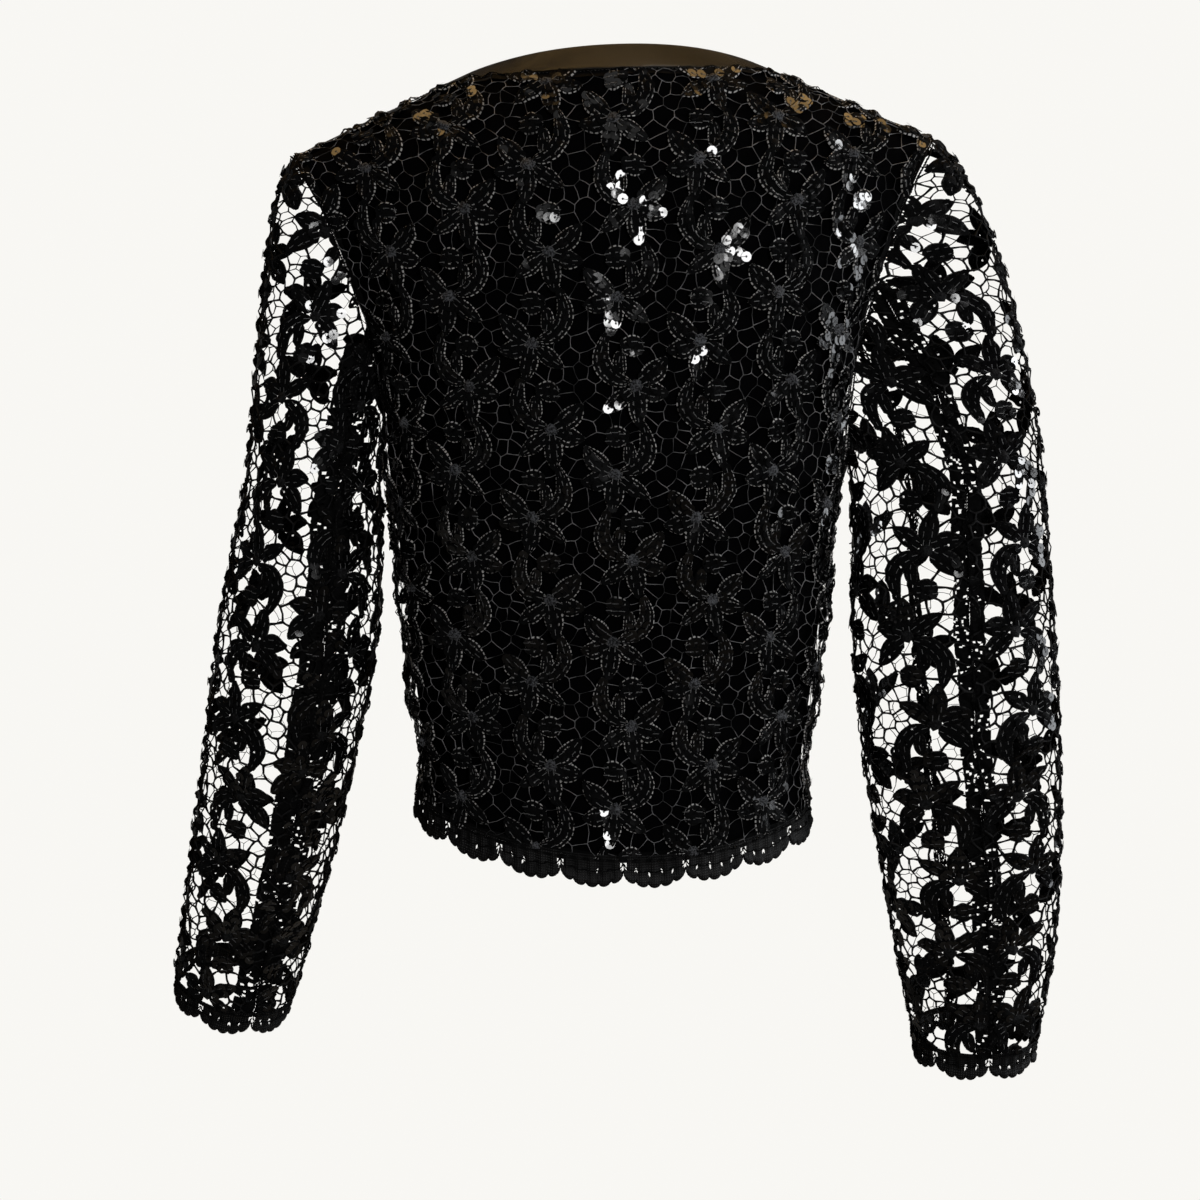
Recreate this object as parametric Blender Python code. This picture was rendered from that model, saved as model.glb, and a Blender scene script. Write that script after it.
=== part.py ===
"""A cropped lace jacket, worn open-necked on a general figure and hollow, as Blender solids in metres.

The front faces -Y and the back +Y. The origin lies between the shoulders, level with the side neck points.
Each panel is cut flat, in a width and a height along the cloth, and is then laid on the torso or arm.
"""

import math

import bpy
import numpy as np
from mathutils import Vector
from mathutils.geometry import delaunay_2d_cdt

# Driving sizes, in metres
CHEST_LEVEL = -0.240
SHOULDER_TIP = 0.206
HOLLOW = {"back": 0.158, "front": 0.150}
NECK_HALF_WIDTH = 0.109
SHOULDER_SLOPE = 0.44
CREST_RISE = 0.038
CREST_FALL = 3.0
BACK_NECK_DROP = 0.077
FRONT_NECK_DROP = 0.150
BACK_HEM_LEVEL = -0.492
SIDE_HEM_LEVEL = -0.474
FRONT_OPENING = 0.006
LINING_HEM_RISE = 0.008
PANEL_RISE = {"back": dict(lean=0.03, fullness=0.90), "front": dict(lean=0.12, fullness=0.75)}
ARMHOLE_FOOT_RISE = 0.006
ARMHOLE_HEAD_IN = 0.010
ARMHOLE_HEAD_DROP = 0.110
HIND_SEAM = {"left": math.radians(111), "right": math.radians(87)}
FORE_SEAM = math.radians(-105)

# Cloth, in metres
LACE_WALL = 0.0014
LINING_WALL = 0.0010
LINING_INSET = 0.0042
BAND_WALL = 0.0020
BAND_WIDTH = 0.0215
EDGING_WALL = 0.0018
SEAM_GAP = 0.0004
LINING_SEAM_GAP = 0.0008
ARMHOLE_GAP = 0.0012

# The repeat of the lace: every other row is mirrored, and odd columns drop by half a row.
# Each motif has the largest gap of its net at its side.
MOTIF_ACROSS = 0.052
MOTIF_UP = 0.055
MOTIF_SWAY = 0.006
GAP_ACROSS = 0.031
BODY_LACE_UP = -1.0
SLEEVE_LACE_UP = 1.0
GAP_HALF_WIDTH = 0.0058
GAP_HALF_HEIGHT = 0.0046
GAP_SIDES = 6
GAP_MARGIN = 0.0105

# The scalloped edging
SCALLOP_WIDTH = 0.039
SCALLOP_LOBES = 5
SCALLOP_SHOULDER = 0.0075
SCALLOP_ROUNDNESS = 0.62
SCALLOP_DEPTH = 0.0190
LOBE_DEPTH = 0.0030
JOINT_HOLE_HALF = 0.0021
JOINT_HOLE_DROP = 0.0040

# Rings of the torso, from below the hem up to the underarm
TORSO_RINGS = (
    dict(level=-0.540, half_width=0.1400, back=0.0990, front=0.1060),
    dict(level=-0.490, half_width=0.1360, back=0.0950, front=0.1020),
    dict(level=-0.450, half_width=0.1315, back=0.0890, front=0.0990),
    dict(level=-0.400, half_width=0.1370, back=0.0855, front=0.1010),
    dict(level=-0.330, half_width=0.1440, back=0.0920, front=0.1130),
    dict(level=-0.280, half_width=0.1485, back=0.0990, front=0.1220),
    dict(level=CHEST_LEVEL, half_width=0.1535, back=0.1030, front=0.1260),
)
RING_ROUNDNESS = 0.90
RING_STEPS = 181

# Rings of each arm, from the underarm ring to below the cuff; out and back are where the ring's middle is.
# The arms hang differently, and the figure stands with its left shoulder down and its left hip up.
ARM_RINGS = {
    "left": (
        dict(level=-0.279, out=0.1995, back=0.000, half_wide=0.0460, half_deep=0.0590),
        dict(level=-0.357, out=0.2091, back=-0.002, half_wide=0.0518, half_deep=0.0560),
        dict(level=-0.441, out=0.2240, back=-0.012, half_wide=0.0504, half_deep=0.0530),
        dict(level=-0.524, out=0.2405, back=-0.028, half_wide=0.0478, half_deep=0.0490),
        dict(level=-0.605, out=0.2585, back=-0.046, half_wide=0.0436, half_deep=0.0425),
        dict(level=-0.670, out=0.2730, back=-0.062, half_wide=0.0405, half_deep=0.0390),
    ),
    "right": (
        dict(level=-0.271, out=0.2234, back=0.006, half_wide=0.0645, half_deep=0.0440),
        dict(level=-0.342, out=0.2267, back=0.010, half_wide=0.0674, half_deep=0.0420),
        dict(level=-0.419, out=0.2345, back=0.010, half_wide=0.0676, half_deep=0.0390),
        dict(level=-0.506, out=0.2460, back=0.004, half_wide=0.0632, half_deep=0.0360),
        dict(level=-0.597, out=0.2555, back=-0.006, half_wide=0.0540, half_deep=0.0350),
        dict(level=-0.655, out=0.2580, back=-0.012, half_wide=0.0445, half_deep=0.0370),
        dict(level=-0.695, out=0.2590, back=-0.016, half_wide=0.0430, half_deep=0.0370),
    ),
}
SLEEVE_HEAD = {"left": dict(fall=1.25, fullness=0.50), "right": dict(fall=0.50, fullness=0.55)}
UNDERARM_FALL = 1.5
SLEEVE_ARRIVAL = 0.9
SLEEVE_CORE = (-0.10, 0.0, 0.62)
SHOULDER_LEAN = dict(level=-0.040, lean=-0.028)
HEM_LEAN = dict(level=-0.490, lean=0.036)
CUFF_LEVEL = {"left": -0.634, "right": -0.651}
SIDE_SIGN = {"left": 1.0, "right": -1.0}

# Soft folds: along is a height on the cloth and rise how far they stand out; round is the place across it,
# from the side seam towards the front on the body and from the top line towards the back on a sleeve
BODY_FOLDS = (
    dict(round=-0.036, along=-0.110, slant=0.25, width=0.055, thickness=0.019, rise=0.0032),
    dict(round=-0.020, along=-0.165, slant=0.20, width=0.050, thickness=0.018, rise=0.0036),
)
SLEEVE_FOLDS = (
    dict(round=-0.060, along=-0.050, slant=0.35, width=0.050, thickness=0.019, rise=0.0034),
    dict(round=-0.050, along=-0.110, slant=0.30, width=0.055, thickness=0.020, rise=0.0036),
    dict(round=0.060, along=-0.080, slant=-0.30, width=0.045, thickness=0.019, rise=0.0032),
    dict(round=0.045, along=-0.150, slant=-0.25, width=0.050, thickness=0.020, rise=0.0028),
)

# How far the cloth is worked out, how finely, and how the pieces are divided
BODY_CLOTH = dict(across=0.252, low=-0.292, high=0.352)
SLEEVE_CLOTH = dict(low=-0.440, high=0.300)
GRID_STEP = 0.002
SLEEVE_TURNS = 73
CURVE_STEPS = 48
ARMHOLE_STEPS = 18
NECK_STEPS = {"back": 12, "front": 15}
HEM_STEPS = 10
SIDE_STEPS = 13
SHOULDER_STEPS = 7
CUFF_STEPS = 7
SLEEVE_SEAM_STEPS = 23
BAND_ROWS = 4
LACE_SPACING = 0.024
LINING_SPACING = 0.027
SLEEVE_SPACING = 0.022
LAST_CELL = 1.001
EDGE_SHARE = 1.1
ROW_SHARE = 0.87
OUTLINE_SHARE = 0.5
HOLE_SHARE = 0.45
SLIVER = 2e-8


# Form of the torso and arms

def through(rows, column, level):
    """A column's value at any level, on a smooth curve through the rows."""
    levels = np.array([row["level"] for row in rows])
    values = np.array([row[column] for row in rows])
    if levels[0] > levels[-1]:
        levels, values = levels[::-1], values[::-1]
    slopes = np.gradient(values, levels)
    level = np.clip(level, levels[0], levels[-1])
    i = np.clip(np.searchsorted(levels, level) - 1, 0, len(levels) - 2)
    step = levels[i + 1] - levels[i]
    u = (level - levels[i]) / step
    start = (1 + 2 * u) * (1 - u) ** 2 * values[i] + u * (1 - u) ** 2 * step * slopes[i]
    end = u * u * (3 - 2 * u) * values[i + 1] + u * u * (u - 1) * step * slopes[i + 1]
    return start + end


def lengths_along(points):
    """The length along a line of points, from 0 at its first point."""
    steps = np.linalg.norm(np.diff(points, axis=0), axis=1)
    return np.concatenate([[0.0], np.cumsum(steps)])


def hermite(start, start_pull, end, end_pull, u):
    """Points on a curve from start to end that leaves and arrives along the two pulls."""
    u = np.asarray(u, float)[:, None]
    return (
        (1 + 2 * u) * (1 - u) ** 2 * start
        + u * (1 - u) ** 2 * start_pull
        + u * u * (3 - 2 * u) * end
        + u * u * (u - 1) * end_pull
    )


def half_ring(level):
    """The torso's outline at a level, from the centre back round the +X side to the centre front."""
    turn = np.linspace(0, math.pi, RING_STEPS)
    behind, before = (through(TORSO_RINGS, name, level) for name in ("back", "front"))
    depth = np.where(turn < math.pi / 2, behind, before)
    x = through(TORSO_RINGS, "half_width", level) * np.abs(np.sin(turn)) ** RING_ROUNDNESS
    y = depth * np.sign(np.cos(turn)) * np.abs(np.cos(turn)) ** RING_ROUNDNESS
    return np.stack([x, y, np.full(RING_STEPS, level)], axis=1)


def quarter_ring(level, front):
    """The half of half_ring that belongs to the back or the front, from its centre line to the side."""
    ring = half_ring(level)
    middle = RING_STEPS // 2
    return ring[middle:][::-1] if front else ring[: middle + 1]


def side_seam(level, front):
    """How far the side seam lies from the centre line, along the cloth."""
    return lengths_along(quarter_ring(level, front))[-1]


def ring_point(level, across, front):
    """The point of the torso's outline at a distance from the centre line, past the side seam if need be."""
    ring = half_ring(level)
    if front:
        ring = ring[::-1]
    along = lengths_along(ring)
    return np.array([np.interp(across, along, ring[:, k]) for k in range(3)])


def ridge_point(across):
    """The shoulder line, where front and back panels meet."""
    if across > NECK_HALF_WIDTH:
        return np.array([across, 0.0, -SHOULDER_SLOPE * (across - NECK_HALF_WIDTH)])
    inward = 1 - (across / NECK_HALF_WIDTH) ** 2
    rounded = SHOULDER_SLOPE * NECK_HALF_WIDTH / 2
    return np.array([across, 0.0, rounded * inward + (CREST_RISE - rounded) * inward**CREST_FALL])


def leant(points):
    """Points moved from an upright figure to one that leans, raising one side and dropping the other."""
    share = (SHOULDER_LEAN["level"] - points[:, 2]) / (SHOULDER_LEAN["level"] - HEM_LEAN["level"])
    lean = SHOULDER_LEAN["lean"] + (HEM_LEAN["lean"] - SHOULDER_LEAN["lean"]) * np.clip(share, 0, 1)
    moved = points.copy()
    moved[:, 2] += points[:, 0] * lean
    return moved


def column(across, front):
    """A line of cloth from the chest ring up to the shoulder line."""
    foot = ring_point(CHEST_LEVEL, across, front)
    top = ridge_point(across)
    reach = np.linalg.norm(top - foot)
    rise = PANEL_RISE["front" if front else "back"]
    inward = 1.0 if front else -1.0
    foot_pull = np.array([0.0, inward * rise["lean"], 1.0]) * reach
    top_pull = np.array([0.0, inward, 0.0]) * (reach + abs(foot[1])) * rise["fullness"]
    return hermite(foot, foot_pull, top, top_pull, np.linspace(0, 1, CURVE_STEPS))


def shoulder_height(across, front):
    """The height along the cloth, above the chest ring, at which a column reaches the shoulder line."""
    return lengths_along(column(across, front))[-1]


def extended(line, along, wanted):
    """Points at the wanted lengths along a line, which runs on straight past its ends."""
    points = np.stack([np.interp(wanted, along, line[:, k]) for k in range(3)], axis=1)
    past = wanted > along[-1]
    end = (line[-1] - line[-2]) / (along[-1] - along[-2])
    points[past] += np.outer(wanted[past] - along[-1], end)
    return points


def folds_at(folds, across, along):
    """How far the cloth stands out on its soft folds."""
    rise = np.zeros(np.broadcast_shapes(across.shape, along.shape))
    for fold in folds:
        aside = across - fold["round"]
        above = along - fold["along"] - fold["slant"] * aside
        rise += fold["rise"] * np.exp(-((aside / fold["width"]) ** 2) - (above / fold["thickness"]) ** 2)
    return rise


class ClothMap:
    """Where flat cloth lies in space: a grid of points and outward normals, read between its points."""

    def __init__(self, across, along, points, outward_of):
        self.across, self.along, self.points = across, along, points
        by_across = np.gradient(points, across, axis=0)
        by_along = np.gradient(points, along, axis=1)
        normals = np.cross(by_across, by_along)
        normals /= np.linalg.norm(normals, axis=2, keepdims=True)
        inside_out = np.sum(normals * (points - outward_of), axis=2) < 0
        normals[inside_out] *= -1
        self.normals = normals

    def level_centre_line(self):
        """Point the normals of the first line across straight out, where two mirrored halves meet."""
        self.normals[0, :, 0] = 0
        self.normals[0] /= np.linalg.norm(self.normals[0], axis=1, keepdims=True)
        return self

    def read(self, values, across, along):
        i = (across - self.across[0]) / (self.across[1] - self.across[0])
        j = (along - self.along[0]) / (self.along[1] - self.along[0])
        i, j = np.clip(i, 0, len(self.across) - LAST_CELL), np.clip(j, 0, len(self.along) - LAST_CELL)
        i0, j0 = i.astype(int), j.astype(int)
        u, v = (i - i0)[:, None], (j - j0)[:, None]
        low = values[i0, j0] * (1 - u) + values[i0 + 1, j0] * u
        high = values[i0, j0 + 1] * (1 - u) + values[i0 + 1, j0 + 1] * u
        return low * (1 - v) + high * v

    def lay(self, across, along, out=0.0):
        """The points in space of flat points, moved out of the cloth."""
        across, along = np.asarray(across, float), np.asarray(along, float)
        placed = self.read(self.points, across, along)
        return placed + self.read(self.normals, across, along) * np.reshape(out, (-1, 1))

    def lay_mirrored(self, across, along, out=0.0):
        """As lay, where a distance across below 0 is on the -X side."""
        across = np.asarray(across, float)
        placed = self.lay(np.abs(across), along, out)
        placed[:, 0] *= np.where(across < 0, -1.0, 1.0)
        return leant(placed)


def torso_map(front, folds):
    """The cloth of the back or the front on the +X side, by distance from the centre line and height."""
    across = np.arange(0.0, BODY_CLOTH["across"], GRID_STEP)
    along = np.arange(BODY_CLOTH["low"], BODY_CLOTH["high"], GRID_STEP)
    points = np.zeros((len(across), len(along), 3))
    for i, a in enumerate(across):
        line = column(a, front)
        points[i, along >= 0] = extended(line, lengths_along(line), along[along >= 0])
    for j, b in enumerate(along[along < 0]):
        ring = half_ring(CHEST_LEVEL + b)
        ring = ring[::-1] if front else ring
        points[:, j] = extended(ring, lengths_along(ring), across)
    middle = points * np.array([0.0, 0.0, 1.0])
    middle[:, :, 2] = np.minimum(middle[:, :, 2], CHEST_LEVEL / 2)
    made = ClothMap(across, along, points, middle)
    seam = np.array([side_seam(CHEST_LEVEL + min(b, 0.0), front) for b in along])
    past_seam = (across[:, None] - seam[None, :]) * (-1.0 if front else 1.0)
    rise = folds_at(folds, past_seam, along[None, :])
    return ClothMap(across, along, points + made.normals * rise[:, :, None], middle).level_centre_line()


def armhole(front, torso, steps):
    """Flat points and points in space, evenly spaced, of an armhole's edge from underarm to shoulder tip."""
    hollow = HOLLOW["front"] if front else HOLLOW["back"]
    top = shoulder_height(SHOULDER_TIP, front)
    foot = np.array([side_seam(CHEST_LEVEL, front), 0.0])
    low = np.array([hollow, ARMHOLE_FOOT_RISE])
    high = np.array([SHOULDER_TIP - ARMHOLE_HEAD_IN, top - ARMHOLE_HEAD_DROP])
    tip = np.array([SHOULDER_TIP, top])
    u = np.linspace(0, 1, 6 * steps)[:, None]
    curve = (1 - u) ** 3 * foot + 3 * u * (1 - u) ** 2 * low + 3 * u * u * (1 - u) * high + u**3 * tip
    length = lengths_along(torso.lay(curve[:, 0], curve[:, 1]))
    even = np.linspace(0, length[-1], steps)
    flat = np.stack([np.interp(even, length, curve[:, k]) for k in range(2)], axis=1)
    return flat, torso.lay(flat[:, 0], flat[:, 1])


class Sleeve:
    """One sleeve's cloth. The turn round the arm is 0 on top, a quarter at the back and half underneath."""

    def __init__(self, side, torso_back, torso_front):
        self.side = side
        self.rings = ARM_RINGS[side]
        self.turns = np.linspace(-math.pi, math.pi, SLEEVE_TURNS)
        self.along = np.arange(SLEEVE_CLOTH["low"], SLEEVE_CLOTH["high"], GRID_STEP)
        axis = np.array([[row["out"], row["back"], row["level"]] for row in self.rings])
        self.row_along = -lengths_along(axis)
        rim = self.armhole_ring(torso_back, torso_front)
        rings = [self.ring_points(axis, k) for k in range(len(axis))]
        points = np.zeros((len(self.turns), len(self.along), 3))
        self.cap_height = np.zeros(len(self.turns))
        for i, turn in enumerate(self.turns):
            points[i] = self.line(turn, rim[i], [ring[i] for ring in rings], i)
        tube = [lengths_along(ring)[-1] for ring in rings]
        self.girths = np.interp(self.along, self.row_along[::-1], tube[::-1])
        rows = self.row_along[::-1]
        middle = np.stack([np.interp(self.along, rows, axis[::-1, k]) for k in range(3)], axis=1)
        over = self.along > 0
        middle[over] = axis[0] + np.outer(self.along[over], SLEEVE_CORE)
        made = ClothMap(self.turns, self.along, points, middle[None, :, :])
        width = self.turns[:, None] * self.girths[None, :] / math.tau
        rise = folds_at(SLEEVE_FOLDS, width, self.along[None, :])
        folded = points + made.normals * rise[:, :, None]
        self.cloth = ClothMap(self.turns, self.along, folded, middle[None, :, :])

    def ring_points(self, axis, k):
        """The points of a ring of the arm, square to the arm's axis."""
        row = self.rings[k]
        down = axis[min(k + 1, len(axis) - 1)] - axis[max(k - 1, 0)]
        down /= np.linalg.norm(down)
        wide = np.array([1.0, 0.0, 0.0])
        wide -= down * wide.dot(down)
        wide /= np.linalg.norm(wide)
        deep = np.cross(down, wide)
        deep *= np.sign(deep[1])
        return axis[k] + np.outer(row["half_wide"] * np.cos(self.turns), wide) + np.outer(
            row["half_deep"] * np.sin(self.turns), deep
        )

    def armhole_ring(self, torso_back, torso_front):
        """The sleeve's upper edge, a seam's gap outside the armhole, at each turn."""
        steps = 2 * ARMHOLE_STEPS + 1
        rim = np.zeros((len(self.turns), 3))
        for front, torso in ((False, torso_back), (True, torso_front)):
            edge = armhole(front, torso, steps)[1]
            share = np.abs(self.turns) / math.pi
            mine = self.turns <= 0 if front else self.turns >= 0
            at = (1 - share[mine]) * (steps - 1)
            rim[mine] = np.stack([np.interp(at, np.arange(steps), edge[:, k]) for k in range(3)], axis=1)
        return rim

    def line(self, turn, rim_point, ring_points, i):
        """A line of cloth down the sleeve, from above the armhole to below the cuff."""
        under = (1 - math.cos(turn)) / 2
        head = SLEEVE_HEAD[self.side]
        leave = np.array([1.0, 0.0, -head["fall"] - UNDERARM_FALL * under])
        leave /= np.linalg.norm(leave)
        reach = np.linalg.norm(ring_points[0] - rim_point)
        arrive = ring_points[1] - ring_points[0]
        arrive = arrive / np.linalg.norm(arrive)
        share = np.linspace(0, 1, CURVE_STEPS)
        leave_pull, arrive_pull = leave * reach * head["fullness"], arrive * reach * SLEEVE_ARRIVAL
        cap = hermite(rim_point, leave_pull, ring_points[0], arrive_pull, share)
        rising = cap[::-1]
        height = lengths_along(rising)
        self.cap_height[i] = height[-1]
        points = np.zeros((len(self.along), 3))
        over = self.along >= 0
        points[over] = extended(rising, height, self.along[over])
        rows = [dict(level=a, x=p[0], y=p[1], z=p[2]) for a, p in zip(self.row_along, ring_points)]
        for k, name in enumerate("xyz"):
            points[~over, k] = through(rows, name, self.along[~over])
        return points

    def lay(self, across, along, out=0.0, middle=0.0):
        """The points in space of flat points, where across starts at the turn of the piece's middle."""
        across, along = np.asarray(across, float), np.asarray(along, float)
        turn = middle + across * math.tau / self.girth_at(along)
        turn = (turn + math.pi) % math.tau - math.pi
        placed = self.cloth.lay(turn, along, out)
        placed[:, 0] *= SIDE_SIGN[self.side]
        return leant(placed)

    def girth_at(self, along):
        """How far round the sleeve is at a height along the cloth."""
        return np.interp(along, self.along, self.girths)

    def cap_at(self, turn):
        """The height along the cloth of the armhole seam at a turn."""
        return np.interp((turn + math.pi) % math.tau - math.pi, self.turns, self.cap_height)

    def cuff(self):
        """The height along the cloth of the cuff."""
        levels = [row["level"] for row in self.rings]
        return float(np.interp(CUFF_LEVEL[self.side], levels[::-1], self.row_along[::-1]))


# Flat pieces

def neckline(front, above, share):
    """Flat points of the neckline, or of a line above it: share 0 is the centre and 1 the side neck."""
    drop = FRONT_NECK_DROP if front else BACK_NECK_DROP
    bottom = shoulder_height(0.0, front) - drop + above
    reach = NECK_HALF_WIDTH - above
    top = shoulder_height(reach, front)
    turn = np.asarray(share, float) * math.pi / 2
    return np.stack([reach * np.sin(turn), bottom + (top - bottom) * (1 - np.cos(turn))], axis=1)


def neck_shares(front):
    """The shares at which a neckline has its points, from the centre edge of its panel."""
    first = math.asin(FRONT_OPENING / 2 / NECK_HALF_WIDTH) / (math.pi / 2) if front else 0.0
    return np.linspace(first, 1, NECK_STEPS["front" if front else "back"])


def hem_height(across, side, front):
    """The height along the cloth of the hem, at a distance from the centre line."""
    share = np.clip(np.abs(across) / side, 0, 1)
    centre = SIDE_HEM_LEVEL if front else BACK_HEM_LEVEL
    return centre + (SIDE_HEM_LEVEL - centre) * (1 - np.cos(share * math.pi)) / 2 - CHEST_LEVEL


def moved_in(outline, by):
    """An outline, given anticlockwise, moved in by an amount at each point."""
    before, after = np.roll(outline, 1, axis=0), np.roll(outline, -1, axis=0)
    first, second = outline - before, after - outline
    first /= np.linalg.norm(first, axis=1, keepdims=True)
    second /= np.linalg.norm(second, axis=1, keepdims=True)
    inward = np.stack([-(first[:, 1] + second[:, 1]), first[:, 0] + second[:, 0]], axis=1)
    inward /= np.linalg.norm(inward, axis=1, keepdims=True)
    half_turn = np.clip(np.sum(first * second, axis=1), -0.6, 1.0)
    reach = 1 / np.sqrt((1 + half_turn) / 2)
    return outline + inward * (reach * by)[:, None]


def body_outline(front, cloth, hem_rise, gap):
    """Half a body panel, anticlockwise from its centre hem, and how far each point is moved in."""
    side = side_seam(SIDE_HEM_LEVEL, front)
    centre = FRONT_OPENING / 2 if front else 0.0
    hem_across = np.linspace(centre, side, HEM_STEPS)[:-1]
    hem = np.stack([hem_across, hem_height(hem_across, side, front) + hem_rise], axis=1)
    levels = np.linspace(SIDE_HEM_LEVEL + hem_rise, CHEST_LEVEL, SIDE_STEPS)[:-1]
    seam = np.array([[side_seam(level, front), level - CHEST_LEVEL] for level in levels])
    arm = armhole(front, cloth, ARMHOLE_STEPS + 1)[0]
    across = np.linspace(SHOULDER_TIP, NECK_HALF_WIDTH, SHOULDER_STEPS)[1:-1]
    shoulder = np.array([[a, shoulder_height(a, front)] for a in across])
    neck = neckline(front, 0.0, neck_shares(front)[::-1])
    parts = (hem, seam, arm, shoulder, neck)
    outline = np.concatenate(parts)
    gaps = np.concatenate([np.full(len(part), gap / 2) for part in parts])
    start = len(hem) + len(seam)
    gaps[start : start + len(arm)] = ARMHOLE_GAP
    gaps[[0, -1]] = 0.0
    return outline, gaps


def back_outline(cloth, hem_rise=0.0, gap=SEAM_GAP):
    """The whole back panel, cut without a centre seam."""
    half, gaps = body_outline(False, cloth, hem_rise, gap)
    other = half[1:-1][::-1] * np.array([-1.0, 1.0])
    return moved_in(np.concatenate([half, other]), np.concatenate([gaps, gaps[1:-1][::-1]]))


def front_outline(side, cloth, hem_rise=0.0, gap=SEAM_GAP):
    """One front panel."""
    half, gaps = body_outline(True, cloth, hem_rise, gap)
    made = moved_in(half, gaps)
    return made if side == "left" else made[::-1] * np.array([-1.0, 1.0])


def sleeve_outline(sleeve, start, end, middle):
    """A sleeve piece between two seams at the turns start and end, anticlockwise from its cuff."""
    cuff = sleeve.cuff()

    def at(turn, along):
        return np.stack([(turn - middle) * sleeve.girth_at(along) / math.tau, along], axis=1)

    cuff_turns = np.linspace(start, end, CUFF_STEPS)[:-1]
    rising = np.linspace(cuff, sleeve.cap_at(end), SLEEVE_SEAM_STEPS)[:-1]
    step = math.pi / ARMHOLE_STEPS
    between = np.arange(math.floor(start / step) + 1, math.ceil(end / step)) * step
    cap_turns = np.concatenate([[end], between[::-1]])
    falling = np.linspace(sleeve.cap_at(start), cuff, SLEEVE_SEAM_STEPS)[:-1]
    outline = np.concatenate([
        at(cuff_turns, np.full(len(cuff_turns), cuff)),
        at(np.full(len(rising), end), rising),
        at(cap_turns, sleeve.cap_at(cap_turns)),
        at(np.full(len(falling), start), falling),
    ])
    return moved_in(outline, np.full(len(outline), SEAM_GAP / 2))


def inside(outline, points):
    """Which points lie inside an outline."""
    x, y = points[:, :1], points[:, 1:]
    after = np.roll(outline, -1, axis=0)
    rise = after[:, 1] - outline[:, 1]
    crosses = (outline[:, 1] > y) != (after[:, 1] > y)
    at = outline[:, 0] + (y - outline[:, 1]) * (after[:, 0] - outline[:, 0]) / np.where(rise == 0, 1.0, rise)
    return np.count_nonzero(crosses & (x < at), axis=1) % 2 == 1


def distance_to(outline, points):
    """How far each point lies from the edges of an outline."""
    after = np.roll(outline, -1, axis=0)
    edge = after - outline
    offset = points[:, None, :] - outline[None, :, :]
    share = np.clip(np.sum(offset * edge, axis=2) / np.sum(edge * edge, axis=1), 0, 1)
    return np.linalg.norm(offset - share[:, :, None] * edge, axis=2).min(axis=1)


def filled_in(outline, spacing):
    """An outline with points added along its edges wherever they are longer than a spacing."""
    points = []
    for here, after in zip(outline, np.roll(outline, -1, axis=0)):
        steps = max(1, math.ceil(np.linalg.norm(after - here) / spacing))
        points.extend(here + (after - here) * n / steps for n in range(steps))
    return np.array(points)


def motif_places(outline, up):
    """The middles of the motifs over a piece and which way each is turned. up is -1 for lace top down."""
    low, high = outline.min(axis=0), outline.max(axis=0)
    columns = range(math.floor(low[0] / MOTIF_ACROSS) - 1, math.ceil(high[0] / MOTIF_ACROSS) + 2)
    reach = math.ceil(np.abs(outline[:, 1]).max() / MOTIF_UP) + 1
    places = []
    for k in columns:
        for j in range(-reach, reach + 1):
            way = 1.0 if j % 2 else -1.0
            row = j + (0.5 if k % 2 else 0.0)
            places.append((k * MOTIF_ACROSS - way * MOTIF_SWAY, up * row * MOTIF_UP, way))
    return places


def net_gaps(outline, up):
    """The largest gap of the net in each repeat, where it is clear of the edges."""
    turn = np.linspace(0, math.tau, GAP_SIDES, endpoint=False)
    shape = np.stack([GAP_HALF_WIDTH * np.cos(turn), GAP_HALF_HEIGHT * np.sin(turn)], axis=1)
    middles = np.array([[x + way * GAP_ACROSS, y] for x, y, way in motif_places(outline, up)])
    clear = inside(outline, middles) & (distance_to(outline, middles) > GAP_MARGIN)
    return [shape + middle for middle in middles[clear]]


def flat_mesh(outline, holes, spacing):
    """Flat triangles over a piece, round its holes, with loose points at a spacing between."""
    outline = filled_in(outline, spacing * EDGE_SHARE)
    low, high = outline.min(axis=0), outline.max(axis=0)
    rows = []
    for n, y in enumerate(np.arange(low[1], high[1], spacing * ROW_SHARE)):
        x = np.arange(low[0] + (spacing / 2 if n % 2 else 0.0), high[0], spacing)
        rows.append(np.stack([x, np.full(len(x), y)], axis=1))
    loose = np.concatenate(rows)
    loose = loose[inside(outline, loose)]
    loose = loose[distance_to(outline, loose) > spacing * OUTLINE_SHARE]
    if holes:
        loose = loose[np.min([distance_to(hole, loose) for hole in holes], axis=0) > spacing * HOLE_SHARE]
        loose = loose[~np.any([inside(hole, loose) for hole in holes], axis=0)]
    points, edges = [], []
    for ring in [outline, *holes]:
        first = len(points)
        points.extend(Vector(point) for point in ring.tolist())
        edges.extend((first + i, first + (i + 1) % len(ring)) for i in range(len(ring)))
    points.extend(Vector(point) for point in loose.tolist())
    made, _, faces = delaunay_2d_cdt(points, edges, [], 0, 1e-6)[:3]
    made = np.array([[point.x, point.y] for point in made])
    faces = np.array(faces)
    first, second, third = (made[faces[:, k]] for k in range(3))
    centres = (first + second + third) / 3
    one, two = second - first, third - first
    keep = inside(outline, centres) & (np.abs(one[:, 0] * two[:, 1] - one[:, 1] * two[:, 0]) > SLIVER)
    for hole in holes:
        keep &= ~inside(hole, centres)
    faces = faces[keep]
    used, renumbered = np.unique(faces, return_inverse=True)
    return made[used], renumbered.reshape(faces.shape)


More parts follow.
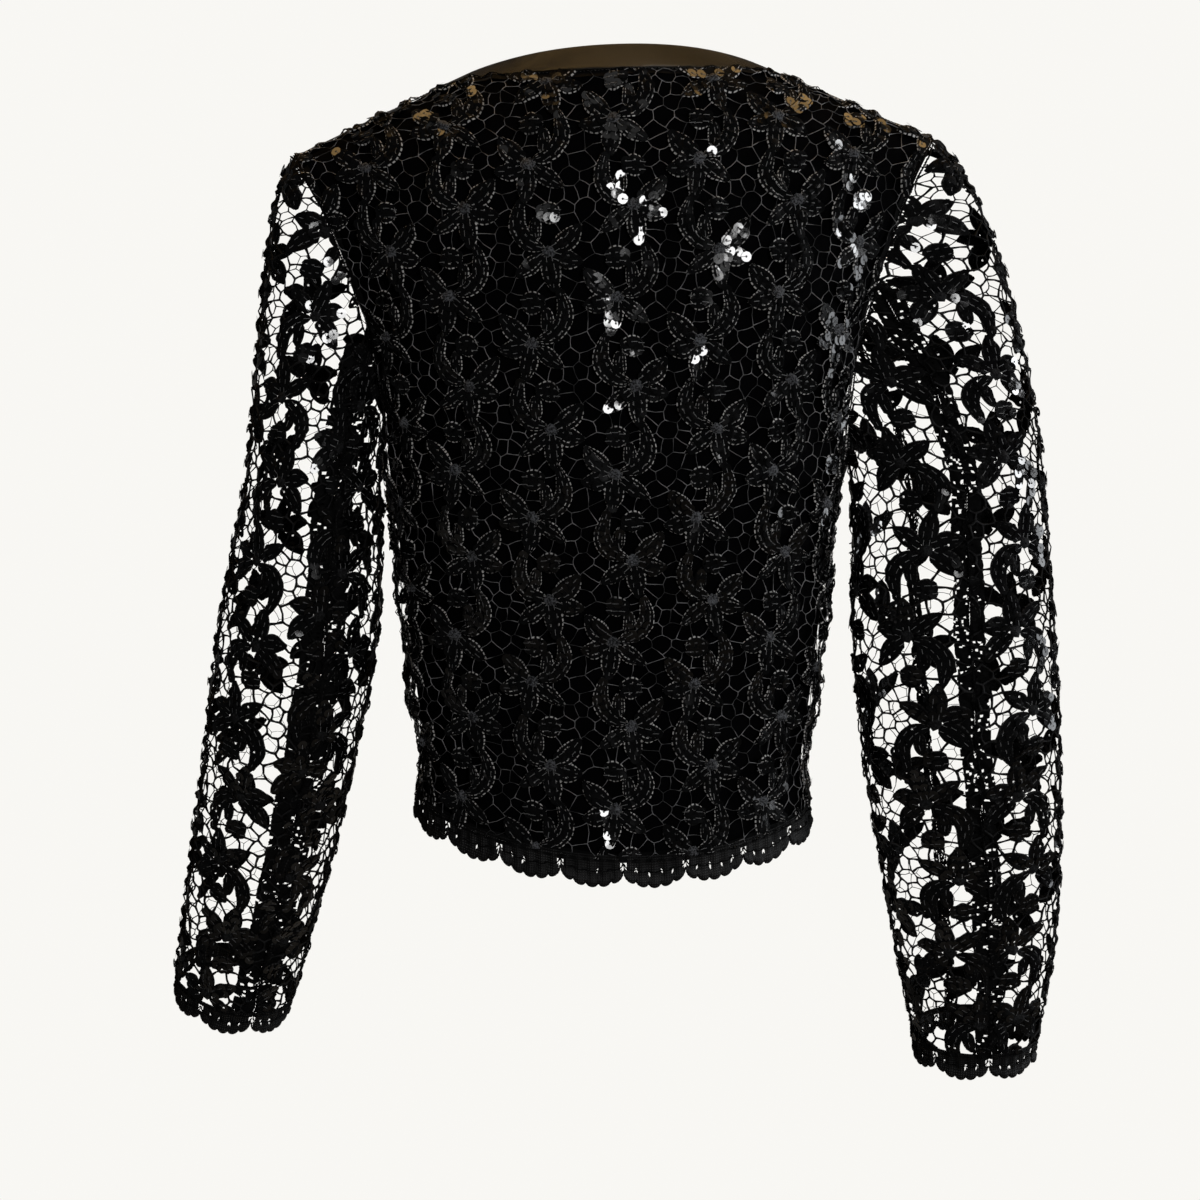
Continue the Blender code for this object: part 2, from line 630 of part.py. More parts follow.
def scalloped_strip(start, end, count):
    """A scalloped edging laid flat, hanging from height 0, and the small holes between its scallops."""
    width = (end - start) / count
    top = np.linspace(end, start, 2 * count + 1)
    points, holes = [], []
    for n in range(count):
        left = start + n * width
        for lobe in range(SCALLOP_LOBES):
            for share, dip in ((0.0, 0.0), (0.5, LOBE_DEPTH)):
                u = (lobe + share) / SCALLOP_LOBES
                curve = (1 - (2 * u - 1) ** 2) ** SCALLOP_ROUNDNESS
                depth = SCALLOP_SHOULDER + (SCALLOP_DEPTH - LOBE_DEPTH - SCALLOP_SHOULDER) * curve + dip
                points.append((left + u * width, -depth))
        if n:
            half = JOINT_HOLE_HALF
            corners = ((-half, -half), (half, -half), (half, half), (-half, half))
            holes.append(np.array([(left + x, y - JOINT_HOLE_DROP) for x, y in corners]))
    outline = np.concatenate([
        [(start, 0.0), (start, -SCALLOP_SHOULDER)],
        points,
        [(end, -SCALLOP_SHOULDER)],
        [(x, 0.0) for x in top[:-1]],
    ])
    return outline, holes


# Solids

def collection(name):
    """A new collection in the scene."""
    made = bpy.data.collections.new(name)
    bpy.context.scene.collection.children.link(made)
    return made


def cloth_material(name, colour, roughness):
    made = bpy.data.materials.new(name)
    made.use_nodes = True
    shader = made.node_tree.nodes["Principled BSDF"]
    shader.inputs["Base Color"].default_value = (*colour, 1.0)
    shader.inputs["Roughness"].default_value = roughness
    return made


def walled(faces, count):
    """The faces of a sheet's outer and inner walls, and of the rim that joins them."""
    made = [tuple(face) for face in faces]
    made += [tuple(count + corner for corner in reversed(face)) for face in faces]
    sides = {(face[k], face[(k + 1) % len(face)]) for face in faces for k in range(len(face))}
    made += [(b, a, count + a, count + b) for a, b in sorted(sides) if (b, a) not in sides]
    return made


def piece(name, outer, inner, faces, home, colour, roughness):
    """One named piece of cloth between an outer and an inner sheet of points."""
    corners = outer[faces]
    facing = np.cross(corners[:, 1] - corners[:, 0], corners[:, 2] - corners[:, 0])
    if np.sum(facing * (outer - inner)[faces[:, 0]]) < 0:
        faces = faces[:, ::-1]
    mesh = bpy.data.meshes.new(name)
    mesh.from_pydata(np.concatenate([outer, inner]).tolist(), [], walled(faces.tolist(), len(outer)))
    mesh.materials.append(cloth_material(name + "_cloth", colour, roughness))
    made = bpy.data.objects.new(name, mesh)
    home.objects.link(made)
    return made


def laid_piece(name, flat, lay, wall, home, inset=0.0, colour=(0.012, 0.012, 0.013), roughness=0.8):
    """A flat piece laid on the form, its outer face at an inset below it."""
    points, faces = flat
    outer = lay(points[:, 0], points[:, 1], -inset)
    inner = lay(points[:, 0], points[:, 1], -inset - wall)
    return piece(name, outer, inner, faces, home, colour, roughness)


def hem_lay(back, front):
    """How the edging hangs from the hem: across runs from one front edge round the back to the other."""
    side_back, side_front = side_seam(SIDE_HEM_LEVEL, False), side_seam(SIDE_HEM_LEVEL, True)

    def lay(across, drop, out=0.0):
        placed = np.zeros((len(across), 3))
        on_back = np.abs(across) <= side_back
        fronts = np.sign(across) * (side_back + side_front - np.abs(across))
        height_back = hem_height(across, side_back, False) + drop
        height_front = hem_height(fronts, side_front, True) + drop
        placed[on_back] = back.lay_mirrored(across[on_back], height_back[on_back], out)
        off = ~on_back
        placed[off] = front.lay_mirrored(fronts[off], height_front[off], out)
        return placed

    return lay, side_back + side_front - FRONT_OPENING / 2


def neck_band(back, front, home):
    """The satin band round the neck, from one front edge over the shoulders to the other."""
    rows = np.linspace(SEAM_GAP / 2, BAND_WIDTH, BAND_ROWS)
    walls = []
    for out in (0.0, -BAND_WALL):
        grid = []
        for above in rows:
            flat_front = neckline(True, above, neck_shares(True))
            flat_back = neckline(False, above, neck_shares(False)[::-1][1:])
            half = np.concatenate([
                front.lay(flat_front[:, 0], flat_front[:, 1], out),
                back.lay(flat_back[:, 0], flat_back[:, 1], out),
            ])
            other = half[:-1][::-1] * np.array([-1.0, 1.0, 1.0])
            grid.append(leant(np.concatenate([half, other])))
        walls.append(np.array(grid))
    wide = walls[0].shape[1]
    faces = [
        (j * wide + i, j * wide + i + 1, (j + 1) * wide + i + 1, (j + 1) * wide + i)
        for j in range(len(rows) - 1)
        for i in range(wide - 1)
    ]
    outer, inner = (wall.reshape(-1, 3) for wall in walls)
    return piece("neck_band", outer, inner, np.array(faces), home, (0.010, 0.010, 0.011), 0.35)


def build():
    for old in list(bpy.data.objects):
        bpy.data.objects.remove(old, do_unlink=True)
    home = collection("lace_jacket")
    back, front = torso_map(False, BODY_FOLDS), torso_map(True, BODY_FOLDS)
    smooth_back, smooth_front = torso_map(False, ()), torso_map(True, ())

    outline = back_outline(back)
    flat = flat_mesh(outline, net_gaps(outline, BODY_LACE_UP), LACE_SPACING)
    laid_piece("lace_back", flat, back.lay_mirrored, LACE_WALL, home)
    outline = back_outline(back, LINING_HEM_RISE, LINING_SEAM_GAP)
    flat = flat_mesh(outline, [], LINING_SPACING)
    laid_piece("lining_back", flat, smooth_back.lay_mirrored, LINING_WALL, home, LINING_INSET)
    for side in ("left", "right"):
        outline = front_outline(side, front)
        flat = flat_mesh(outline, net_gaps(outline, BODY_LACE_UP), LACE_SPACING)
        laid_piece("lace_front_" + side, flat, front.lay_mirrored, LACE_WALL, home)
        outline = front_outline(side, front, LINING_HEM_RISE, LINING_SEAM_GAP)
        flat = flat_mesh(outline, [], LINING_SPACING)
        lay = smooth_front.lay_mirrored
        laid_piece("lining_front_" + side, flat, lay, LINING_WALL, home, LINING_INSET)
    neck_band(back, front, home)
    lay, reach = hem_lay(back, front)
    count = 2 * round(reach / SCALLOP_WIDTH)
    outline, holes = scalloped_strip(-reach, reach, count)
    outline[:, 1] -= SEAM_GAP
    laid_piece("hem_edging", flat_mesh(outline, holes, LINING_SPACING), lay, EDGING_WALL, home)

    for side in ("left", "right"):
        sleeve = Sleeve(side, back, front)
        hind_seam, under_end = HIND_SEAM[side], FORE_SEAM + math.tau
        for part, start, end in (("top", FORE_SEAM, hind_seam), ("under", hind_seam, under_end)):
            middle = (start + end) / 2 if part == "under" else 0.0
            outline = sleeve_outline(sleeve, start, end, middle)

            def lay_sleeve(across, along, out=0.0, sleeve=sleeve, middle=middle):
                return sleeve.lay(across, along, out, middle)

            flat = flat_mesh(outline, net_gaps(outline, SLEEVE_LACE_UP), SLEEVE_SPACING)
            laid_piece(f"sleeve_{side}_{part}", flat, lay_sleeve, LACE_WALL, home)
        cuff = sleeve.cuff()
        girth = float(sleeve.girth_at(cuff))
        outline, holes = scalloped_strip(SEAM_GAP, girth - SEAM_GAP, round(girth / SCALLOP_WIDTH))
        outline[:, 1] -= SEAM_GAP

        def lay_cuff(across, drop, out=0.0, sleeve=sleeve, cuff=cuff, girth=girth):
            scaled = across * sleeve.girth_at(cuff + drop) / girth
            return sleeve.lay(scaled, cuff + drop, out, HIND_SEAM[sleeve.side])

        flat = flat_mesh(outline, holes, LINING_SPACING)
        laid_piece("cuff_edging_" + side, flat, lay_cuff, EDGING_WALL, home)


build()
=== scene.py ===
"""A cropped lace jacket in lace, lining, satin, sequins and crocheted edging, on the form of its CAD solids.

The front faces -Y. Each piece is cut flat, in a width and a height along the cloth, and is laid on the torso
or arm as its solid is. The file is laid out as an add-on and is run as a script.
"""

import math
from functools import lru_cache

import bpy
import numpy as np
from bpy.props import FloatProperty, FloatVectorProperty, PointerProperty
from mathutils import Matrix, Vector
from mathutils.geometry import delaunay_2d_cdt


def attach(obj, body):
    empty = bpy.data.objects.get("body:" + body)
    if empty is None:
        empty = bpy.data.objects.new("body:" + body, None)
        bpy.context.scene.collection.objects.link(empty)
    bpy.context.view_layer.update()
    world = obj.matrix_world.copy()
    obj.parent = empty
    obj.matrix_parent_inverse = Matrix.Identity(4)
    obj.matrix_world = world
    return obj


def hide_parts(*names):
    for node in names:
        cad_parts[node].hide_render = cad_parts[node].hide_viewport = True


bl_info = {
    "name": "Lace jacket",
    "version": (1, 0, 0),
    "blender": (4, 5, 0),
    "location": "3D View > Sidebar > Lace jacket",
    "description": "Lays lace, lining, satin and edging on the form of a cropped jacket",
    "category": "Object",
}

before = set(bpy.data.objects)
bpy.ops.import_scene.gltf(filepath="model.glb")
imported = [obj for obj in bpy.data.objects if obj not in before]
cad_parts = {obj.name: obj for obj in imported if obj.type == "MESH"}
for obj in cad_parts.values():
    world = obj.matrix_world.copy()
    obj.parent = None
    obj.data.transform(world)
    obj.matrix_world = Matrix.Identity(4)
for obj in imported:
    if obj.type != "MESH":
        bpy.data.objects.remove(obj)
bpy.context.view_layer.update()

# The form, in metres, as the solids have it
CHEST_LEVEL = -0.240
SHOULDER_TIP = 0.206
HOLLOW = {"back": 0.158, "front": 0.150}
NECK_HALF_WIDTH = 0.109
SHOULDER_SLOPE = 0.44
CREST_RISE = 0.038
CREST_FALL = 3.0
BACK_NECK_DROP = 0.077
FRONT_NECK_DROP = 0.150
BACK_HEM_LEVEL = -0.492
SIDE_HEM_LEVEL = -0.474
FRONT_OPENING = 0.006
PANEL_RISE = {"back": dict(lean=0.03, fullness=0.90), "front": dict(lean=0.12, fullness=0.75)}
ARMHOLE_FOOT_RISE = 0.006
ARMHOLE_HEAD_IN = 0.010
ARMHOLE_HEAD_DROP = 0.110
HIND_SEAM = {"left": math.radians(111), "right": math.radians(87)}
FORE_SEAM = math.radians(-105)

# Cloth, in metres
LACE_MIDDLE = -0.0007
LINING_WALL = 0.0010
LINING_INSET = 0.0042
BAND_WALL = 0.0020
BAND_WIDTH = 0.0215
EDGING_MIDDLE = -0.0009
SEAM_GAP = 0.0004
ARMHOLE_GAP = 0.0012

# The repeat of the lace: every other row is mirrored, and odd columns drop by half a row
MOTIF_ACROSS = 0.052
MOTIF_UP = 0.055
MOTIF_SWAY = 0.006
GAP_ACROSS = 0.031
BODY_LACE_UP = -1.0
SLEEVE_LACE_UP = 1.0

# Rings of the torso, from below the hem up to the underarm
TORSO_RINGS = (
    dict(level=-0.540, half_width=0.1400, back=0.0990, front=0.1060),
    dict(level=-0.490, half_width=0.1360, back=0.0950, front=0.1020),
    dict(level=-0.450, half_width=0.1315, back=0.0890, front=0.0990),
    dict(level=-0.400, half_width=0.1370, back=0.0855, front=0.1010),
    dict(level=-0.330, half_width=0.1440, back=0.0920, front=0.1130),
    dict(level=-0.280, half_width=0.1485, back=0.0990, front=0.1220),
    dict(level=CHEST_LEVEL, half_width=0.1535, back=0.1030, front=0.1260),
)
RING_ROUNDNESS = 0.90
RING_STEPS = 181

# Rings of each arm, from the underarm ring to below the cuff; out and back are where the ring's middle is
ARM_RINGS = {
    "left": (
        dict(level=-0.279, out=0.1995, back=0.000, half_wide=0.0460, half_deep=0.0590),
        dict(level=-0.357, out=0.2091, back=-0.002, half_wide=0.0518, half_deep=0.0560),
        dict(level=-0.441, out=0.2240, back=-0.012, half_wide=0.0504, half_deep=0.0530),
        dict(level=-0.524, out=0.2405, back=-0.028, half_wide=0.0478, half_deep=0.0490),
        dict(level=-0.605, out=0.2585, back=-0.046, half_wide=0.0436, half_deep=0.0425),
        dict(level=-0.670, out=0.2730, back=-0.062, half_wide=0.0405, half_deep=0.0390),
    ),
    "right": (
        dict(level=-0.271, out=0.2234, back=0.006, half_wide=0.0645, half_deep=0.0440),
        dict(level=-0.342, out=0.2267, back=0.010, half_wide=0.0674, half_deep=0.0420),
        dict(level=-0.419, out=0.2345, back=0.010, half_wide=0.0676, half_deep=0.0390),
        dict(level=-0.506, out=0.2460, back=0.004, half_wide=0.0632, half_deep=0.0360),
        dict(level=-0.597, out=0.2555, back=-0.006, half_wide=0.0540, half_deep=0.0350),
        dict(level=-0.655, out=0.2580, back=-0.012, half_wide=0.0445, half_deep=0.0370),
        dict(level=-0.695, out=0.2590, back=-0.016, half_wide=0.0430, half_deep=0.0370),
    ),
}
SLEEVE_HEAD = {"left": dict(fall=1.25, fullness=0.50), "right": dict(fall=0.50, fullness=0.55)}
UNDERARM_FALL = 1.5
SLEEVE_ARRIVAL = 0.9
SLEEVE_CORE = (-0.10, 0.0, 0.62)
SHOULDER_LEAN = dict(level=-0.040, lean=-0.028)
HEM_LEAN = dict(level=-0.490, lean=0.036)
CUFF_LEVEL = {"left": -0.634, "right": -0.651}
SIDE_SIGN = {"left": 1.0, "right": -1.0}

# Soft folds: along is a height on the cloth and rise how far they stand out; round is the place across it,
# from the side seam towards the front on the body and from the top line towards the back on a sleeve
BODY_FOLDS = (
    dict(round=-0.036, along=-0.110, slant=0.25, width=0.055, thickness=0.019, rise=0.0032),
    dict(round=-0.020, along=-0.165, slant=0.20, width=0.050, thickness=0.018, rise=0.0036),
)
SLEEVE_FOLDS = (
    dict(round=-0.060, along=-0.050, slant=0.35, width=0.050, thickness=0.019, rise=0.0034),
    dict(round=-0.050, along=-0.110, slant=0.30, width=0.055, thickness=0.020, rise=0.0036),
    dict(round=0.060, along=-0.080, slant=-0.30, width=0.045, thickness=0.019, rise=0.0032),
    dict(round=0.045, along=-0.150, slant=-0.25, width=0.050, thickness=0.020, rise=0.0028),
)

# How far the cloth is worked out and how finely
BODY_CLOTH = dict(across=0.252, low=-0.292, high=0.352)
SLEEVE_CLOTH = dict(low=-0.440, high=0.300)
GRID_STEP = 0.002
SLEEVE_TURNS = 73
CURVE_STEPS = 48
ARMHOLE_STEPS = 18
LAST_CELL = 1.001

NECK_STEPS = {"back": 25, "front": 31}
HEM_STEPS = 22
SIDE_STEPS = 25
SHOULDER_STEPS = 12
CUFF_STEPS = 15
SLEEVE_SEAM_STEPS = 45
EDGE_SHARE = 1.1
ROW_SHARE = 0.87
OUTLINE_SHARE = 0.5
SLIVER = 1e-8
LINING_SPACING = 0.011

# The chart of a motif, in millimetres from the middle of its flower. Each leaf follows a line of points, and
# a blunt of 0.4 is rounder than one of 0.8. The last leaf is the round tip of the curl.
CHART_UNIT = 0.001
LEAVES = (
    dict(line=((0, 2), (-1.5, 13), (-3, 25)), width=12.3, blunt=0.75, strings=2),
    dict(line=((3, 2), (12, 9), (21, 15)), width=11.2, blunt=0.75, strings=2),
    dict(line=((-3, 2), (-12, 4.5), (-21, 5)), width=12.8, blunt=0.75, strings=2),
    dict(line=((-2, -2), (-11, -8), (-19, -18)), width=13.6, blunt=0.70, strings=2),
    dict(line=((3, -2), (14, -6), (20.5, -17), (17, -34)), width=11.4, blunt=0.60, strings=2),
    dict(line=((8.5, -7), (9.5, -14), (8.5, -22)), width=8.4, blunt=0.40, strings=1),
    dict(line=((-5.6, -24.3), (1.5, -24.7), (8.6, -24.3)), width=14.4, blunt=0.50, strings=2),
)
LEAF_FULLEST = 0.85
LEAF_TIP = 0.0008
KNOT_RADIUS = 0.0042
KNOT_HEIGHT = 0.0015

# Across a leaf, from its edge at 1 to its middle line: the corded edge, the row of pinholes and the dome
LEAF_SECTION = (
    dict(across=1.00, height=-0.0002),
    dict(across=0.84, height=0.0009),
    dict(across=0.54, height=0.0004),
    dict(across=0.30, height=0.0006),
)
SEQUIN_LINE = 0.40
SEQUIN_PITCH = 0.0050
SEQUIN_ROOM = (0.0022, 0.0043)
PINHOLE_HALF = 0.00065
PINHOLE_SHARE = 0.13

# The net between the leaves
NET_SEED = 11
NET_CELLS = 72
NET_ROUNDS = 14
NET_SAMPLE = 0.001
OPEN_CELL_REACH = 0.0106
OPEN_CELL_STRETCH = 1.22
LEAF_SEED_DEPTH = 0.0030
NET_HOLD = 0.0004
SHORTEST_THREAD = 0.0004
THREAD_BOW = 0.07
LACE_WANDER = dict(reach=0.0007, across=0.083, up=0.067)
LACE_BUMPS = dict(out=0.0024, across=0.019, up=0.023)

# Sequins, and the stitch that holds each one
SEQUIN_SEED = 5
SEQUIN_SIDES = 9
SEQUIN_LIFT = 0.0007
SEQUIN_OVERLAP_TILT = math.radians(7.0)
SEQUIN_LOOSE_TILT = math.radians(1.3)
SEQUIN_SWAY = dict(reach=math.radians(5.0), across=0.047, up=0.037)
SEQUIN_EDGE_GAP = 0.0030
SEQUIN_HOLE = 0.22
SEQUIN_DISH = 0.006
STITCH_LIFT = 0.00018
STITCH_WIDTH = 0.00034

# Seams
# The left allowance is wider than its seam needs: besides the seam, its dark strip stands in for the shade
# along the left sleeve's hind seam, painted shade.
ALLOWANCE = dict(left=0.0165, right=0.0085, front=0.0034)
ALLOWANCE_DEPTH = 0.0019
ALLOWANCE_COLUMNS = 6
ALLOWANCE_ROW = 0.0014
ALLOWANCE_OPEN = 0.09
TURNED_EDGE = (0.0045, 0.0015, -0.0016)
TURNED_DEPTH = 0.0006
OVERLOCK_REACH = 0.0014
OVERLOCK_PITCH = 0.0026
LINING_TURNED_UP = -0.009
LINING_HEM_DROP = 0.0010
LINING_NEAR = 0.0016
LINING_EASE = 0.026

# How heavy the net's thread is: on the body, and on a sleeve from its hidden front to its back
BODY_WEIGHT = 0.52
SLEEVE_WEIGHT = (0.42, 1.75)

# The hidden front of a sleeve has the flowers without their curls
FRONT_FACING = -0.12
FLOWER_LEAVES = 4
FRONT_CELLS = 78

# The scalloped edging
SCALLOP_WIDTH = 0.039
SCALLOP_LOBES = 5
SCALLOP_SHOULDER = 0.0075
SCALLOP_ROUNDNESS = 0.62
SCALLOP_DEPTH = 0.0190
LOBE_DEPTH = 0.0030
JOINT_HOLE_HALF = 0.0021
JOINT_HOLE_DROP = 0.0040
HEADING = 0.0030
LOBE_COLUMNS = 8
EDGING_ROWS = 10
RIB_HEIGHT = 0.0007
EDGING_PINHOLE_SHARE = 0.22
EDGING_OVER_HEM = 0.0014

# The neck band
BAND_SIDES = 24
BAND_PUCKER = 0.00035
BAND_PUCKER_PITCH = 0.011

# Pitches of the finishes
THREAD_TWIST = 0.0012
STITCH_PITCH = 0.0008
STITCH_SLANT = 0.0022
DASH_PITCH = 0.0026
# Where across a leaf the dashed lines lie and how wide they are; they carry the painted highlight.
DASHED_LINES = ((0.93, 0.07), (0.50, 0.05))
# The sleeves take the lace colours at this share: painted shade, for the light that comes through them from
# behind.
SLEEVE_PAINTED_SHADE = 0.06
CROCHET_PITCH = 0.0016
TWILL_PITCH = 0.0007
SATIN_PITCH = 0.0006

# Stage: the backdrop hangs well behind the jacket, and the floor lies below what the camera sees
STAGE_SIZE = 16.0
FLOOR_LEVEL = -4.40
FLOOR_ROUGH = 0.8
BACKDROP_MATT = (0.5, 0.5, 0.5)
ROOM_LIGHT = (0.95, 0.98, 1.0)
BACKDROP_MIDDLE = (-0.37, -6.0, -1.62)
CAMERA_AZIMUTH = math.radians(176.4)
CAMERA_ELEVATION = math.radians(12.0)
CAMERA_DISTANCE = 1.6
CAMERA_TARGET = (0.0092, 0.0, -0.3406)
FOCAL_PIXELS = 2388.3
IMAGE_PIXELS = 1200
SENSOR_WIDTH = 36.0


# Form of the torso and arms

def through(rows, column, level):
    """A column's value at any level, on a smooth curve through the rows."""
    levels = np.array([row["level"] for row in rows])
    values = np.array([row[column] for row in rows])
    if levels[0] > levels[-1]:
        levels, values = levels[::-1], values[::-1]
    slopes = np.gradient(values, levels)
    level = np.clip(level, levels[0], levels[-1])
    i = np.clip(np.searchsorted(levels, level) - 1, 0, len(levels) - 2)
    step = levels[i + 1] - levels[i]
    u = (level - levels[i]) / step
    start = (1 + 2 * u) * (1 - u) ** 2 * values[i] + u * (1 - u) ** 2 * step * slopes[i]
    end = u * u * (3 - 2 * u) * values[i + 1] + u * u * (u - 1) * step * slopes[i + 1]
    return start + end


def lengths_along(points):
    """The length along a line of points, from 0 at its first point."""
    steps = np.linalg.norm(np.diff(points, axis=0), axis=1)
    return np.concatenate([[0.0], np.cumsum(steps)])


def hermite(start, start_pull, end, end_pull, u):
    """Points on a curve from start to end that leaves and arrives along the two pulls."""
    u = np.asarray(u, float)[:, None]
    return (
        (1 + 2 * u) * (1 - u) ** 2 * start
        + u * (1 - u) ** 2 * start_pull
        + u * u * (3 - 2 * u) * end
        + u * u * (u - 1) * end_pull
    )


def half_ring(level):
    """The torso's outline at a level, from the centre back round the +X side to the centre front."""
    turn = np.linspace(0, math.pi, RING_STEPS)
    behind, before = (through(TORSO_RINGS, name, level) for name in ("back", "front"))
    depth = np.where(turn < math.pi / 2, behind, before)
    x = through(TORSO_RINGS, "half_width", level) * np.abs(np.sin(turn)) ** RING_ROUNDNESS
    y = depth * np.sign(np.cos(turn)) * np.abs(np.cos(turn)) ** RING_ROUNDNESS
    return np.stack([x, y, np.full(RING_STEPS, level)], axis=1)


def quarter_ring(level, front):
    """The half of half_ring that belongs to the back or the front, from its centre line to the side."""
    ring = half_ring(level)
    middle = RING_STEPS // 2
    return ring[middle:][::-1] if front else ring[: middle + 1]


def side_seam(level, front):
    """How far the side seam lies from the centre line, along the cloth."""
    return lengths_along(quarter_ring(level, front))[-1]


def ring_point(level, across, front):
    """The point of the torso's outline at a distance from the centre line, past the side seam if need be."""
    ring = half_ring(level)
    if front:
        ring = ring[::-1]
    along = lengths_along(ring)
    return np.array([np.interp(across, along, ring[:, k]) for k in range(3)])


def ridge_point(across):
    """The shoulder line, where front and back panels meet."""
    if across > NECK_HALF_WIDTH:
        return np.array([across, 0.0, -SHOULDER_SLOPE * (across - NECK_HALF_WIDTH)])
    inward = 1 - (across / NECK_HALF_WIDTH) ** 2
    rounded = SHOULDER_SLOPE * NECK_HALF_WIDTH / 2
    return np.array([across, 0.0, rounded * inward + (CREST_RISE - rounded) * inward**CREST_FALL])


def leant(points):
    """Points moved from an upright figure to one that leans, raising one side and dropping the other."""
    share = (SHOULDER_LEAN["level"] - points[:, 2]) / (SHOULDER_LEAN["level"] - HEM_LEAN["level"])
    lean = SHOULDER_LEAN["lean"] + (HEM_LEAN["lean"] - SHOULDER_LEAN["lean"]) * np.clip(share, 0, 1)
    moved = points.copy()
    moved[:, 2] += points[:, 0] * lean
    return moved


def column(across, front):
    """A line of cloth from the chest ring up to the shoulder line."""
    foot = ring_point(CHEST_LEVEL, across, front)
    top = ridge_point(across)
    reach = np.linalg.norm(top - foot)
    rise = PANEL_RISE["front" if front else "back"]
    inward = 1.0 if front else -1.0
    foot_pull = np.array([0.0, inward * rise["lean"], 1.0]) * reach
    top_pull = np.array([0.0, inward, 0.0]) * (reach + abs(foot[1])) * rise["fullness"]
    return hermite(foot, foot_pull, top, top_pull, np.linspace(0, 1, CURVE_STEPS))


def shoulder_height(across, front):
    """The height along the cloth, above the chest ring, at which a column reaches the shoulder line."""
    return lengths_along(column(across, front))[-1]


def extended(line, along, wanted):
    """Points at the wanted lengths along a line, which runs on straight past its ends."""
    points = np.stack([np.interp(wanted, along, line[:, k]) for k in range(3)], axis=1)
    past = wanted > along[-1]
    end = (line[-1] - line[-2]) / (along[-1] - along[-2])
    points[past] += np.outer(wanted[past] - along[-1], end)
    return points


def folds_at(folds, across, along):
    """How far the cloth stands out on its soft folds."""
    rise = np.zeros(np.broadcast_shapes(across.shape, along.shape))
    for fold in folds:
        aside = across - fold["round"]
        above = along - fold["along"] - fold["slant"] * aside
        rise += fold["rise"] * np.exp(-((aside / fold["width"]) ** 2) - (above / fold["thickness"]) ** 2)
    return rise


class ClothMap:
    """Where flat cloth lies in space: a grid of points and outward normals, read between its points."""

    def __init__(self, across, along, points, outward_of):
        self.across, self.along, self.points = across, along, points
        by_across = np.gradient(points, across, axis=0)
        by_along = np.gradient(points, along, axis=1)
        normals = np.cross(by_across, by_along)
        normals /= np.linalg.norm(normals, axis=2, keepdims=True)
        inside_out = np.sum(normals * (points - outward_of), axis=2) < 0
        normals[inside_out] *= -1
        self.normals = normals

    def level_centre_line(self):
        """Point the normals of the first line across straight out, where two mirrored halves meet."""
        self.normals[0, :, 0] = 0
        self.normals[0] /= np.linalg.norm(self.normals[0], axis=1, keepdims=True)
        return self

    def read(self, values, across, along):
        i = (across - self.across[0]) / (self.across[1] - self.across[0])
        j = (along - self.along[0]) / (self.along[1] - self.along[0])
        i, j = np.clip(i, 0, len(self.across) - LAST_CELL), np.clip(j, 0, len(self.along) - LAST_CELL)
        i0, j0 = i.astype(int), j.astype(int)
        u, v = (i - i0)[:, None], (j - j0)[:, None]
        low = values[i0, j0] * (1 - u) + values[i0 + 1, j0] * u
        high = values[i0, j0 + 1] * (1 - u) + values[i0 + 1, j0 + 1] * u
        return low * (1 - v) + high * v

    def lay(self, across, along, out=0.0):
        """The points in space of flat points, moved out of the cloth."""
        across, along = np.asarray(across, float), np.asarray(along, float)
        placed = self.read(self.points, across, along)
        return placed + self.read(self.normals, across, along) * np.reshape(out, (-1, 1))

    def lay_mirrored(self, across, along, out=0.0):
        """As lay, where a distance across below 0 is on the -X side."""
        across = np.asarray(across, float)
        placed = self.lay(np.abs(across), along, out)
        placed[:, 0] *= np.where(across < 0, -1.0, 1.0)
        return leant(placed)


def torso_map(front, folds):
    """The cloth of the back or the front on the +X side, by distance from the centre line and height."""
    across = np.arange(0.0, BODY_CLOTH["across"], GRID_STEP)
    along = np.arange(BODY_CLOTH["low"], BODY_CLOTH["high"], GRID_STEP)
    points = np.zeros((len(across), len(along), 3))
    for i, a in enumerate(across):
        line = column(a, front)
        points[i, along >= 0] = extended(line, lengths_along(line), along[along >= 0])
    for j, b in enumerate(along[along < 0]):
        ring = half_ring(CHEST_LEVEL + b)
        ring = ring[::-1] if front else ring
        points[:, j] = extended(ring, lengths_along(ring), across)
    middle = points * np.array([0.0, 0.0, 1.0])
    middle[:, :, 2] = np.minimum(middle[:, :, 2], CHEST_LEVEL / 2)
    made = ClothMap(across, along, points, middle)
    seam = np.array([side_seam(CHEST_LEVEL + min(b, 0.0), front) for b in along])
    past_seam = (across[:, None] - seam[None, :]) * (-1.0 if front else 1.0)
    rise = folds_at(folds, past_seam, along[None, :])
    return ClothMap(across, along, points + made.normals * rise[:, :, None], middle).level_centre_line()


def armhole(front, torso, steps):
    """Flat points and points in space, evenly spaced, of an armhole's edge from underarm to shoulder tip."""
    hollow = HOLLOW["front"] if front else HOLLOW["back"]
    top = shoulder_height(SHOULDER_TIP, front)
    foot = np.array([side_seam(CHEST_LEVEL, front), 0.0])
    low = np.array([hollow, ARMHOLE_FOOT_RISE])
    high = np.array([SHOULDER_TIP - ARMHOLE_HEAD_IN, top - ARMHOLE_HEAD_DROP])
    tip = np.array([SHOULDER_TIP, top])
    u = np.linspace(0, 1, 6 * steps)[:, None]
    curve = (1 - u) ** 3 * foot + 3 * u * (1 - u) ** 2 * low + 3 * u * u * (1 - u) * high + u**3 * tip
    length = lengths_along(torso.lay(curve[:, 0], curve[:, 1]))
    even = np.linspace(0, length[-1], steps)
    flat = np.stack([np.interp(even, length, curve[:, k]) for k in range(2)], axis=1)
    return flat, torso.lay(flat[:, 0], flat[:, 1])


